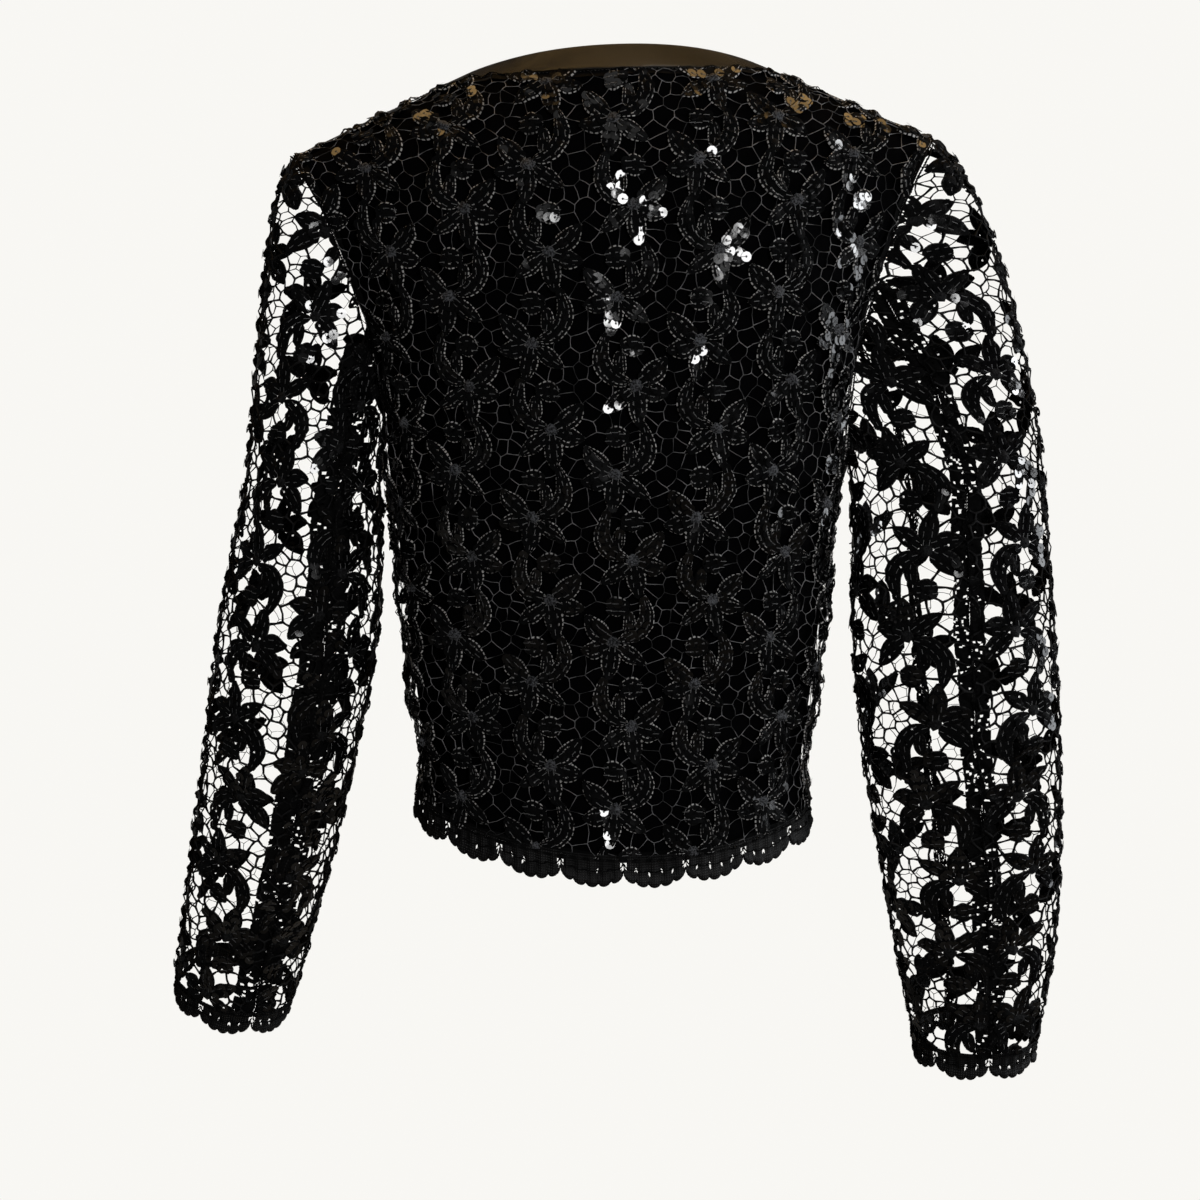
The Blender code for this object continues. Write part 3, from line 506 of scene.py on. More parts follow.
class Sleeve:
    """One sleeve's cloth. The turn round the arm is 0 on top, a quarter at the back and half underneath."""

    def __init__(self, side, torso_back, torso_front):
        self.side = side
        self.rings = ARM_RINGS[side]
        self.turns = np.linspace(-math.pi, math.pi, SLEEVE_TURNS)
        self.along = np.arange(SLEEVE_CLOTH["low"], SLEEVE_CLOTH["high"], GRID_STEP)
        axis = np.array([[row["out"], row["back"], row["level"]] for row in self.rings])
        self.row_along = -lengths_along(axis)
        rim = self.armhole_ring(torso_back, torso_front)
        rings = [self.ring_points(axis, k) for k in range(len(axis))]
        points = np.zeros((len(self.turns), len(self.along), 3))
        self.cap_height = np.zeros(len(self.turns))
        for i, turn in enumerate(self.turns):
            points[i] = self.line(turn, rim[i], [ring[i] for ring in rings], i)
        tube = [lengths_along(ring)[-1] for ring in rings]
        self.girths = np.interp(self.along, self.row_along[::-1], tube[::-1])
        rows = self.row_along[::-1]
        middle = np.stack([np.interp(self.along, rows, axis[::-1, k]) for k in range(3)], axis=1)
        over = self.along > 0
        middle[over] = axis[0] + np.outer(self.along[over], SLEEVE_CORE)
        made = ClothMap(self.turns, self.along, points, middle[None, :, :])
        width = self.turns[:, None] * self.girths[None, :] / math.tau
        rise = folds_at(SLEEVE_FOLDS, width, self.along[None, :])
        folded = points + made.normals * rise[:, :, None]
        self.cloth = ClothMap(self.turns, self.along, folded, middle[None, :, :])

    def ring_points(self, axis, k):
        """The points of a ring of the arm, square to the arm's axis."""
        row = self.rings[k]
        down = axis[min(k + 1, len(axis) - 1)] - axis[max(k - 1, 0)]
        down /= np.linalg.norm(down)
        wide = np.array([1.0, 0.0, 0.0])
        wide -= down * wide.dot(down)
        wide /= np.linalg.norm(wide)
        deep = np.cross(down, wide)
        deep *= np.sign(deep[1])
        return axis[k] + np.outer(row["half_wide"] * np.cos(self.turns), wide) + np.outer(
            row["half_deep"] * np.sin(self.turns), deep
        )

    def armhole_ring(self, torso_back, torso_front):
        """The sleeve's upper edge, a seam's gap outside the armhole, at each turn."""
        steps = 2 * ARMHOLE_STEPS + 1
        rim = np.zeros((len(self.turns), 3))
        for front, torso in ((False, torso_back), (True, torso_front)):
            edge = armhole(front, torso, steps)[1]
            share = np.abs(self.turns) / math.pi
            mine = self.turns <= 0 if front else self.turns >= 0
            at = (1 - share[mine]) * (steps - 1)
            rim[mine] = np.stack([np.interp(at, np.arange(steps), edge[:, k]) for k in range(3)], axis=1)
        return rim

    def line(self, turn, rim_point, ring_points, i):
        """A line of cloth down the sleeve, from above the armhole to below the cuff."""
        under = (1 - math.cos(turn)) / 2
        head = SLEEVE_HEAD[self.side]
        leave = np.array([1.0, 0.0, -head["fall"] - UNDERARM_FALL * under])
        leave /= np.linalg.norm(leave)
        reach = np.linalg.norm(ring_points[0] - rim_point)
        arrive = ring_points[1] - ring_points[0]
        arrive = arrive / np.linalg.norm(arrive)
        share = np.linspace(0, 1, CURVE_STEPS)
        leave_pull, arrive_pull = leave * reach * head["fullness"], arrive * reach * SLEEVE_ARRIVAL
        cap = hermite(rim_point, leave_pull, ring_points[0], arrive_pull, share)
        rising = cap[::-1]
        height = lengths_along(rising)
        self.cap_height[i] = height[-1]
        points = np.zeros((len(self.along), 3))
        over = self.along >= 0
        points[over] = extended(rising, height, self.along[over])
        rows = [dict(level=a, x=p[0], y=p[1], z=p[2]) for a, p in zip(self.row_along, ring_points)]
        for k, name in enumerate("xyz"):
            points[~over, k] = through(rows, name, self.along[~over])
        return points

    def lay(self, across, along, out=0.0, middle=0.0):
        """The points in space of flat points, where across starts at the turn of the piece's middle."""
        across, along = np.asarray(across, float), np.asarray(along, float)
        turn = middle + across * math.tau / self.girth_at(along)
        turn = (turn + math.pi) % math.tau - math.pi
        placed = self.cloth.lay(turn, along, out)
        placed[:, 0] *= SIDE_SIGN[self.side]
        return leant(placed)

    def girth_at(self, along):
        """How far round the sleeve is at a height along the cloth."""
        return np.interp(along, self.along, self.girths)

    def cap_at(self, turn):
        """The height along the cloth of the armhole seam at a turn."""
        return np.interp((turn + math.pi) % math.tau - math.pi, self.turns, self.cap_height)

    def cuff(self):
        """The height along the cloth of the cuff."""
        levels = [row["level"] for row in self.rings]
        return float(np.interp(CUFF_LEVEL[self.side], levels[::-1], self.row_along[::-1]))


# Flat pieces

def neckline(front, above, share):
    """Flat points of the neckline, or of a line above it: share 0 is the centre and 1 the side neck."""
    drop = FRONT_NECK_DROP if front else BACK_NECK_DROP
    bottom = shoulder_height(0.0, front) - drop + above
    reach = NECK_HALF_WIDTH - above
    top = shoulder_height(reach, front)
    turn = np.asarray(share, float) * math.pi / 2
    return np.stack([reach * np.sin(turn), bottom + (top - bottom) * (1 - np.cos(turn))], axis=1)


def neck_shares(front):
    """The shares at which a neckline has its points, from the centre edge of its panel."""
    first = math.asin(FRONT_OPENING / 2 / NECK_HALF_WIDTH) / (math.pi / 2) if front else 0.0
    return np.linspace(first, 1, NECK_STEPS["front" if front else "back"])


def hem_height(across, side, front):
    """The height along the cloth of the hem, at a distance from the centre line."""
    share = np.clip(np.abs(across) / side, 0, 1)
    centre = SIDE_HEM_LEVEL if front else BACK_HEM_LEVEL
    return centre + (SIDE_HEM_LEVEL - centre) * (1 - np.cos(share * math.pi)) / 2 - CHEST_LEVEL


def moved_in(outline, by):
    """An outline, given anticlockwise, moved in by an amount at each point."""
    before, after = np.roll(outline, 1, axis=0), np.roll(outline, -1, axis=0)
    first, second = outline - before, after - outline
    first /= np.linalg.norm(first, axis=1, keepdims=True)
    second /= np.linalg.norm(second, axis=1, keepdims=True)
    inward = np.stack([-(first[:, 1] + second[:, 1]), first[:, 0] + second[:, 0]], axis=1)
    inward /= np.linalg.norm(inward, axis=1, keepdims=True)
    half_turn = np.clip(np.sum(first * second, axis=1), -0.6, 1.0)
    reach = 1 / np.sqrt((1 + half_turn) / 2)
    return outline + inward * (reach * by)[:, None]


def body_outline(front, cloth, hem_rise, gap):
    """Half a body panel, anticlockwise from its centre hem, and how far each point is moved in."""
    side = side_seam(SIDE_HEM_LEVEL, front)
    centre = FRONT_OPENING / 2 if front else 0.0
    hem_across = np.linspace(centre, side, HEM_STEPS)[:-1]
    hem = np.stack([hem_across, hem_height(hem_across, side, front) + hem_rise], axis=1)
    levels = np.linspace(SIDE_HEM_LEVEL + hem_rise, CHEST_LEVEL, SIDE_STEPS)[:-1]
    seam = np.array([[side_seam(level, front), level - CHEST_LEVEL] for level in levels])
    arm = armhole(front, cloth, ARMHOLE_STEPS + 1)[0]
    across = np.linspace(SHOULDER_TIP, NECK_HALF_WIDTH, SHOULDER_STEPS)[1:-1]
    shoulder = np.array([[a, shoulder_height(a, front)] for a in across])
    neck = neckline(front, 0.0, neck_shares(front)[::-1])
    parts = (hem, seam, arm, shoulder, neck)
    outline = np.concatenate(parts)
    gaps = np.concatenate([np.full(len(part), gap / 2) for part in parts])
    start = len(hem) + len(seam)
    gaps[start : start + len(arm)] = ARMHOLE_GAP
    gaps[[0, -1]] = 0.0
    return outline, gaps


def back_outline(cloth, hem_rise=0.0, gap=SEAM_GAP):
    """The whole back panel, cut without a centre seam."""
    half, gaps = body_outline(False, cloth, hem_rise, gap)
    other = half[1:-1][::-1] * np.array([-1.0, 1.0])
    return moved_in(np.concatenate([half, other]), np.concatenate([gaps, gaps[1:-1][::-1]]))


def front_outline(side, cloth, hem_rise=0.0, gap=SEAM_GAP):
    """One front panel."""
    half, gaps = body_outline(True, cloth, hem_rise, gap)
    made = moved_in(half, gaps)
    return made if side == "left" else made[::-1] * np.array([-1.0, 1.0])


def sleeve_outline(sleeve, start, end, middle):
    """A sleeve piece between two seams at the turns start and end, anticlockwise from its cuff."""
    cuff = sleeve.cuff()

    def at(turn, along):
        return np.stack([(turn - middle) * sleeve.girth_at(along) / math.tau, along], axis=1)

    cuff_turns = np.linspace(start, end, CUFF_STEPS)[:-1]
    rising = np.linspace(cuff, sleeve.cap_at(end), SLEEVE_SEAM_STEPS)[:-1]
    step = math.pi / ARMHOLE_STEPS
    between = np.arange(math.floor(start / step) + 1, math.ceil(end / step)) * step
    cap_turns = np.concatenate([[end], between[::-1]])
    falling = np.linspace(sleeve.cap_at(start), cuff, SLEEVE_SEAM_STEPS)[:-1]
    outline = np.concatenate([
        at(cuff_turns, np.full(len(cuff_turns), cuff)),
        at(np.full(len(rising), end), rising),
        at(cap_turns, sleeve.cap_at(cap_turns)),
        at(np.full(len(falling), start), falling),
    ])
    return moved_in(outline, np.full(len(outline), SEAM_GAP / 2))


def inside(outline, points):
    """Which points lie inside an outline."""
    x, y = points[:, :1], points[:, 1:]
    after = np.roll(outline, -1, axis=0)
    rise = after[:, 1] - outline[:, 1]
    crosses = (outline[:, 1] > y) != (after[:, 1] > y)
    at = outline[:, 0] + (y - outline[:, 1]) * (after[:, 0] - outline[:, 0]) / np.where(rise == 0, 1.0, rise)
    return np.count_nonzero(crosses & (x < at), axis=1) % 2 == 1


def distance_to(outline, points):
    """How far each point lies from the edges of an outline."""
    after = np.roll(outline, -1, axis=0)
    edge = after - outline
    offset = points[:, None, :] - outline[None, :, :]
    share = np.clip(np.sum(offset * edge, axis=2) / np.sum(edge * edge, axis=1), 0, 1)
    return np.linalg.norm(offset - share[:, :, None] * edge, axis=2).min(axis=1)


def filled_in(outline, spacing):
    """An outline with points added along its edges wherever they are longer than a spacing."""
    points = []
    for here, after in zip(outline, np.roll(outline, -1, axis=0)):
        steps = max(1, math.ceil(np.linalg.norm(after - here) / spacing))
        points.extend(here + (after - here) * n / steps for n in range(steps))
    return np.array(points)


def motif_places(outline, up):
    """The middles of the motifs over a piece and which way each is turned. up is -1 for lace top down."""
    low, high = outline.min(axis=0), outline.max(axis=0)
    columns = range(math.floor(low[0] / MOTIF_ACROSS) - 1, math.ceil(high[0] / MOTIF_ACROSS) + 2)
    reach = math.ceil(np.abs(outline[:, 1]).max() / MOTIF_UP) + 1
    places = []
    for k in columns:
        for j in range(-reach, reach + 1):
            way = 1.0 if j % 2 else -1.0
            row = j + (0.5 if k % 2 else 0.0)
            places.append((k * MOTIF_ACROSS - way * MOTIF_SWAY, up * row * MOTIF_UP, way))
    return places


def flat_mesh(outline, spacing):
    """Flat triangles over a piece, with loose points at a spacing between."""
    outline = filled_in(outline, spacing * EDGE_SHARE)
    low, high = outline.min(axis=0), outline.max(axis=0)
    rows = []
    for n, y in enumerate(np.arange(low[1], high[1], spacing * ROW_SHARE)):
        x = np.arange(low[0] + (spacing / 2 if n % 2 else 0.0), high[0], spacing)
        rows.append(np.stack([x, np.full(len(x), y)], axis=1))
    loose = np.concatenate(rows)
    loose = loose[inside(outline, loose)]
    loose = loose[distance_to(outline, loose) > spacing * OUTLINE_SHARE]
    points = [Vector(point) for point in np.concatenate([outline, loose]).tolist()]
    edges = [(i, (i + 1) % len(outline)) for i in range(len(outline))]
    made, _, faces = delaunay_2d_cdt(points, edges, [], 0, 1e-6)[:3]
    made = np.array([[point.x, point.y] for point in made])
    faces = np.array(faces)
    first, second, third = (made[faces[:, k]] for k in range(3))
    centres = (first + second + third) / 3
    one, two = second - first, third - first
    keep = inside(outline, centres) & (np.abs(one[:, 0] * two[:, 1] - one[:, 1] * two[:, 0]) > SLIVER)
    faces = faces[keep]
    used, renumbered = np.unique(faces, return_inverse=True)
    return made[used], renumbered.reshape(faces.shape)


def wandered(points):
    """Flat points of the lace moved a little, as real lace is never quite even."""
    reach = LACE_WANDER["reach"]
    a = points[:, 0] * math.tau / LACE_WANDER["across"]
    b = points[:, 1] * math.tau / LACE_WANDER["up"]
    moved = points.copy()
    moved[:, 0] += reach * np.sin(b + 0.6 * a)
    moved[:, 1] += reach * np.sin(a - 0.7 * b)
    a = points[:, 0] * math.tau / LACE_BUMPS["across"]
    b = points[:, 1] * math.tau / LACE_BUMPS["up"]
    bumps = np.sin(a + 1.3 * np.sin(b)) * np.sin(b - 0.8 * np.sin(a))
    moved[:, 2] += LACE_BUMPS["out"] * np.clip(bumps, 0, 1)
    return moved


@lru_cache(maxsize=1)
def jacket_form():
    """The cloth maps of the whole jacket, worked out once."""
    back, front = torso_map(False, BODY_FOLDS), torso_map(True, BODY_FOLDS)
    return dict(
        back=back,
        front=front,
        smooth_back=torso_map(False, ()),
        smooth_front=torso_map(True, ()),
        left=Sleeve("left", back, front),
        right=Sleeve("right", back, front),
    )


class Cut:
    """One cut piece: its name, flat outline, how it is laid and which way up its lace is."""

    def __init__(self, name, outline, lay, up, sleeve=None, middle=0.0, turns=()):
        self.name, self.outline, self.lay, self.up = name, outline, lay, up
        self.sleeve, self.middle, self.turns = sleeve, middle, turns

    def flat_size(self):
        width, length = self.outline.max(axis=0) - self.outline.min(axis=0)
        return float(width), float(length)

    def facing(self, points):
        """How far flat points of a sleeve face the back, from -1 to 1. On the body it is 1."""
        if not self.sleeve:
            return np.ones(len(points))
        return np.sin(self.middle + points[:, 0] * math.tau / self.sleeve.girth_at(points[:, 1]))

    def weight(self, points):
        """How heavy the net's thread is at flat points."""
        if not self.sleeve:
            return np.full(len(points), BODY_WEIGHT)
        front, back = SLEEVE_WEIGHT
        return front + (back - front) * (1 + self.facing(points)) / 2

    def area(self):
        x, y = self.outline[:, 0], self.outline[:, 1]
        return float(abs(np.sum(x * np.roll(y, -1) - np.roll(x, -1) * y)) / 2)


@lru_cache(maxsize=1)
def lace_cuts():
    """Every piece that is cut from the lace."""
    form = jacket_form()
    cuts = [Cut("lace_back", back_outline(form["back"]), form["back"].lay_mirrored, BODY_LACE_UP)]
    for side in ("left", "right"):
        outline = front_outline(side, form["front"])
        cuts.append(Cut("lace_front_" + side, outline, form["front"].lay_mirrored, BODY_LACE_UP))
    for side in ("left", "right"):
        sleeve = form[side]
        hind_seam, under_end = HIND_SEAM[side], FORE_SEAM + math.tau
        for part, start, end in (("top", FORE_SEAM, hind_seam), ("under", hind_seam, under_end)):
            middle = (start + end) / 2 if part == "under" else 0.0
            outline = sleeve_outline(sleeve, start, end, middle)

            def lay_sleeve(across, along, out=0.0, sleeve=sleeve, middle=middle):
                return sleeve.lay(across, along, out, middle)

            turns = (start - middle, end - middle)
            name = f"sleeve_{side}_{part}"
            cuts.append(Cut(name, outline, lay_sleeve, SLEEVE_LACE_UP, sleeve, middle, turns))
    return cuts


# The lace chart

def smooth_line(points, steps=24):
    """A smooth line through charted points."""
    points = np.array(points, float)
    points = np.vstack([2 * points[0] - points[1], points, 2 * points[-1] - points[-2]])
    u = np.linspace(0, 1, steps, endpoint=False)[:, None]
    line = []
    for before, here, after, beyond in zip(points, points[1:], points[2:], points[3:]):
        slope, bend = after - before, 2 * before - 5 * here + 4 * after - beyond
        twist = 3 * here - before - 3 * after + beyond
        line.append(here + 0.5 * (slope * u + bend * u**2 + twist * u**3))
    return np.concatenate([*line, points[-2:-1]])


def leaf_points(leaf, shares, across):
    """Charted points of a leaf at shares of its length and at places across it from -1 to 1, in metres."""
    line = smooth_line(leaf["line"]) * CHART_UNIT
    length = lengths_along(line)
    at = np.asarray(shares, float) * length[-1]
    step = length[-1] / 200
    here = np.stack([np.interp(at, length, line[:, k]) for k in range(2)], axis=1)
    ahead = np.stack([np.interp(at + step, length, line[:, k]) for k in range(2)], axis=1)
    behind = np.stack([np.interp(at - step, length, line[:, k]) for k in range(2)], axis=1)
    way = ahead - behind
    way /= np.linalg.norm(way, axis=1, keepdims=True)
    aside = np.stack([-way[:, 1], way[:, 0]], axis=1)
    full = np.sin(math.pi * np.clip(shares, 0, 1) ** LEAF_FULLEST) ** leaf["blunt"]
    half = np.maximum(leaf["width"] * CHART_UNIT / 2 * full, LEAF_TIP)
    across = np.asarray(across, float)
    return here[:, None] + aside[:, None] * (half[:, None] * across[None, :])[:, :, None], way, length[-1]


def leaf_outline(leaf, steps=18):
    """A leaf's outline on the chart, anticlockwise."""
    shares = (1 - np.cos(np.linspace(0, math.pi, steps))) / 2
    points = leaf_points(leaf, shares, (-1.0, 1.0))[0]
    return np.concatenate([points[:, 0], points[::-1, 1]])


class Parts:
    """Points on the flat cloth and their height above it, faces, stitch places and finishes, gathered up."""

    def __init__(self):
        self.points, self.faces, self.stitches, self.finishes = [], [], [], []
        self.count = 0

    def add(self, points, faces, stitches, finish):
        self.points.append(points)
        self.faces.append(np.asarray(faces) + self.count)
        self.stitches.append(stitches)
        self.finishes.append(np.broadcast_to(finish, len(faces)))
        self.count += len(points)

    def gathered(self):
        return [np.concatenate(rows) for rows in (self.points, self.faces, self.stitches, self.finishes)]


NET, LEAF, KNOT = 0, 1, 2
PINHOLE = 3


def leaf_parts(leaf, parts):
    """A leaf as one embroidered sheet: a corded edge, a dome, and places for pinholes along its strings."""
    length = leaf_points(leaf, [0.5], [0.0])[2]
    count = max(2, round(length / SEQUIN_PITCH) - (1 if length > 3 * SEQUIN_PITCH else 0))
    middles = (np.arange(count) + 0.5) / count * 0.90 + 0.05
    half = PINHOLE_HALF / length
    between = (middles[:-1] + middles[1:]) / 2
    knots = np.concatenate([[0.0, middles[0] * 0.35], middles - half, middles + half, between])
    knots = np.sort(np.concatenate([knots, [1 - middles[0] * 0.35, 1.0]]))
    across = np.array([row["across"] for row in LEAF_SECTION])
    across = np.concatenate([-across, across[::-1]])
    heights = np.array([row["height"] for row in LEAF_SECTION])
    heights = np.concatenate([heights, heights[::-1]])
    flat = leaf_points(leaf, knots, across)[0]
    ends = np.sin(math.pi * np.clip(knots, 0.02, 0.98)) ** 0.35
    raised = np.broadcast_to(heights[None, :] * ends[:, None], flat.shape[:2])
    points = np.concatenate([flat, raised[:, :, None]], axis=2).reshape(-1, 3)
    stitches = np.stack(np.meshgrid(knots * length, across, indexing="ij"), axis=2).reshape(-1, 2)
    wide = len(across)
    faces, finishes = [], []
    for i in range(len(knots) - 1):
        centre = (knots[i] + knots[i + 1]) / 2
        over_hole = np.abs(middles - centre).min() < half / 2
        for j in range(wide - 1):
            corner = i * wide + j
            faces.append((corner, corner + wide, corner + wide + 1, corner + 1))
            finishes.append(PINHOLE if over_hole and j in (2, wide - 4) else LEAF)
    parts.add(points, faces, stitches, np.array(finishes))
    return middles


def knot_parts(parts):
    """The tangle of thread in the middle of a flower."""
    sides = 10
    turn = np.linspace(0, math.tau, sides, endpoint=False)
    rings = []
    for share, height in ((1.0, 0.0), (0.62, 0.75), (0.2, 1.0)):
        radius = KNOT_RADIUS * share * (1 + 0.16 * np.cos(5 * turn + share))
        rise = KNOT_HEIGHT * height * (1 + 0.22 * np.sin(3 * turn))
        rings.append(np.stack([radius * np.cos(turn), radius * np.sin(turn), rise], axis=1))
    points = np.concatenate(rings)
    faces = []
    for ring in range(2):
        for i in range(sides):
            low, after = ring * sides + i, ring * sides + (i + 1) % sides
            faces.append((low, after, after + sides, low + sides))
    top = 2 * sides
    for i in range(0, sides - 2, 2):
        faces.append((top, top + i + 1, top + i + 2, top + (i + 3) % sides))
    parts.add(points, faces, points[:, :2] * 1.0, KNOT)


@lru_cache(maxsize=1)
def motif():
    """The motif of the chart: its sheets' points, faces, stitch places and finishes, which faces are of the
    curl, and its sequins."""
    parts = Parts()
    sequins = []
    for number, leaf in enumerate(LEAVES):
        middles = leaf_parts(leaf, parts)
        lines = (-SEQUIN_LINE, SEQUIN_LINE) if leaf["strings"] == 2 else (0.0,)
        flat, way, _ = leaf_points(leaf, middles, lines)
        edges = leaf_points(leaf, middles, (-1.0, 1.0))[0]
        half = np.linalg.norm(edges[:, 1] - edges[:, 0], axis=1) / 2
        for n in np.flatnonzero(half > SEQUIN_ROOM[0]):
            chosen = flat[n].mean(axis=0, keepdims=True) if half[n] < SEQUIN_ROOM[1] else flat[n]
            sequins.extend((x, y, way[n, 0], way[n, 1], number) for x, y in chosen)
    knot_parts(parts)
    number = np.repeat(np.arange(len(parts.faces)), [len(faces) for faces in parts.faces])
    curl = (number >= FLOWER_LEAVES) & (number < len(LEAVES))
    return (*parts.gathered(), curl, np.array(sequins))


def nearest_on(outlines, points):
    """The nearest point to each point on any of the outlines, and how far it is."""
    starts = np.concatenate(outlines)
    ends = np.concatenate([np.roll(outline, -1, axis=0) for outline in outlines])
    edge = ends - starts
    offset = points[:, None] - starts[None]
    share = np.clip(np.sum(offset * edge, axis=2) / np.sum(edge * edge, axis=1), 0, 1)
    found = starts + share[:, :, None] * edge
    distance = np.linalg.norm(points[:, None] - found, axis=2)
    best = distance.argmin(axis=1)
    rows = np.arange(len(points))
    return found[rows, best], distance[rows, best]


def within_any(outlines, points):
    """Which points lie in any of the outlines."""
    found = np.zeros(len(points), bool)
    for outline in outlines:
        low, high = outline.min(axis=0), outline.max(axis=0)
        near = np.all((points > low) & (points < high), axis=1)
        found[near] |= inside(outline, points[near])
    return found


@lru_cache(maxsize=2)
def net_threads(leaf_count, cell_count):
    """The threads of one repeat of the net between so many leaves, as starts and ends on the chart."""
    period = np.array([2 * MOTIF_ACROSS, 2 * MOTIF_UP])
    shifts = np.array([(a, b) for a in (-1, 0, 1) for b in (-1, 0, 1)]) * period
    rng = np.random.default_rng(NET_SEED)
    shapes = [leaf_outline(leaf) for leaf in LEAVES[:leaf_count]]
    turn = np.linspace(0, math.tau, 12, endpoint=False)
    shapes.append(KNOT_RADIUS * np.stack([np.cos(turn), np.sin(turn)], axis=1))
    outlines, gaps = [], []
    for k in (0, 1):
        for j in (0, 1):
            way = 1.0 if j else -1.0
            place = np.array([k * MOTIF_ACROSS - way * MOTIF_SWAY, (j + 0.5 * k) * MOTIF_UP])
            gaps.append(place + [way * GAP_ACROSS, 0.0])
            outlines.extend(shape * [way, 1.0] + place for shape in shapes)
    outlines = [outline + shift for outline in outlines for shift in shifts]
    gaps = np.mod(np.array(gaps), period)

    counts = np.ceil(period / NET_SAMPLE).astype(int)
    grid = np.stack(np.meshgrid(*(np.arange(n) * NET_SAMPLE for n in counts), indexing="ij"), axis=2)
    grid = grid.reshape(-1, 2)
    open_points = grid[~within_any(outlines, grid)]
    loose = open_points[rng.choice(len(open_points), cell_count, replace=False)]
    stretch = np.array([OPEN_CELL_STRETCH, 1.0])
    for _ in range(NET_ROUNDS):
        seeds = np.concatenate([gaps, loose])
        offset = open_points[:, None] - seeds[None]
        offset -= period * np.round(offset / period)
        nearest = np.sum(offset**2, axis=2).argmin(axis=1)
        for n in range(len(gaps), len(seeds)):
            mine = nearest == n
            if mine.any():
                seeds[n] += offset[mine, n].mean(axis=0)
        loose = seeds[len(gaps):]
        for gap in gaps:
            away = loose - gap
            away -= period * np.round(away / period)
            far = np.linalg.norm(away / stretch, axis=1)
            close = far < OPEN_CELL_REACH
            loose[close] += away[close] * (OPEN_CELL_REACH / far[close, None] - 1)

    seeds = np.concatenate([gaps, loose])
    held = []
    for outline in outlines:
        found, distance = nearest_on([outline], seeds)
        near = distance < 2.4 * LEAF_SEED_DEPTH
        inward = (found - seeds)[near] / distance[near, None]
        held.append(found[near] + inward * np.minimum(distance[near], LEAF_SEED_DEPTH)[:, None])
    held = np.concatenate(held)
    held = held[within_any(outlines, held)]
    every = np.concatenate([np.concatenate([seeds, held]) + shift for shift in shifts])
    is_open = np.tile(np.arange(len(seeds) + len(held)) < len(seeds), len(shifts))
    points = [Vector(point) for point in every.tolist()]
    made, _, faces, origins = delaunay_2d_cdt(points, [], [], 0, 1e-7)[:4]
    made = np.array([(point.x, point.y) for point in made])
    is_open = np.array([is_open[origin[0]] for origin in origins])
    faces = np.array(faces)
    a, b, c = (made[faces[:, k]] for k in range(3))
    twice = 2 * ((b - a)[:, 0] * (c - a)[:, 1] - (b - a)[:, 1] * (c - a)[:, 0])
    bb, cc = np.sum((b - a) ** 2, axis=1), np.sum((c - a) ** 2, axis=1)
    middle_x = a[:, 0] + ((c - a)[:, 1] * bb - (b - a)[:, 1] * cc) / twice
    middle_y = a[:, 1] + ((b - a)[:, 0] * cc - (c - a)[:, 0] * bb) / twice
    middles = np.stack([middle_x, middle_y], axis=1)
    sharing = {}
    for n, face in enumerate(faces):
        for k in range(3):
            pair = (face[k], face[(k + 1) % 3])
            sharing.setdefault((min(pair), max(pair)), []).append(n)
    pairs = [both for edge, both in sharing.items() if len(both) == 2 and is_open[list(edge)].all()]
    pairs = np.array(pairs)
    starts, ends = middles[pairs[:, 0]], middles[pairs[:, 1]]
    halfway = (starts + ends) / 2
    mine = np.all((halfway >= 0) & (halfway < period), axis=1)
    pairs, starts, ends = pairs[mine], starts[mine], ends[mine]
    touches_leaf = ~is_open[faces].all(axis=1)
    for side, points in enumerate((starts, ends)):
        snap = touches_leaf[pairs[:, side]] | within_any(outlines, points)
        found, _ = nearest_on(outlines, points[snap])
        other = (ends if side == 0 else starts)[snap]
        ahead = found - other
        ahead /= np.linalg.norm(ahead, axis=1, keepdims=True)
        points[snap] = found + ahead * NET_HOLD
    length = np.linalg.norm(ends - starts, axis=1)
    keep = (length > SHORTEST_THREAD) & ~within_any(outlines, (starts + ends) / 2)
    return starts[keep], ends[keep]


# Laid pieces

TIED_THREAD = (1.3, 0.9, 1.3)
CHAIN_STITCH = (0.65, 1.1, 0.65)


def thread_parts(starts, ends, thickness, depth, parts, bow=None, spreads=TIED_THREAD, finish=NET):
    """Threads from starts to ends on the flat cloth at a depth, each with its own thickness and bow."""
    ahead = ends - starts
    length = np.linalg.norm(ahead, axis=1)
    ahead = ahead / length[:, None]
    aside = np.stack([-ahead[:, 1], ahead[:, 0]], axis=1)
    bow = np.zeros(len(starts)) if bow is None else bow * length
    turns = math.pi / 2 + np.arange(3) * math.tau / 3
    rings, places = [], []
    for share, lean, spread in zip((0.0, 0.5, 1.0), (0.0, 1.0, 0.0), spreads):
        middle = starts + (ends - starts) * share + aside * (bow * lean)[:, None]
        radius = thickness / 2 * spread
        for n, turn in enumerate(turns):
            flat = middle + aside * (radius * math.cos(turn))[:, None]
            rings.append(np.column_stack([flat, depth + radius * math.sin(turn)]))
            places.append(np.column_stack([length * share, np.full(len(starts), n / 3)]))
    points = np.stack(rings, axis=1).reshape(-1, 3)
    stitches = np.stack(places, axis=1).reshape(-1, 2)
    pattern = []
    for low in (0, 3):
        for side in range(3):
            after = (side + 1) % 3
            pattern.append((low + side, low + after, low + 3 + after, low + 3 + side))
    faces = (np.array(pattern)[None] + 9 * np.arange(len(starts))[:, None, None]).reshape(-1, 4)
    parts.add(points, faces, stitches, finish)


def chain_parts(line, thickness, depth, parts, finish=NET):
    """A chain stitch along a line of flat points."""
    thickness = np.broadcast_to(thickness, len(line) - 1)
    thread_parts(line[:-1], line[1:], thickness, depth, parts, spreads=CHAIN_STITCH, finish=finish)


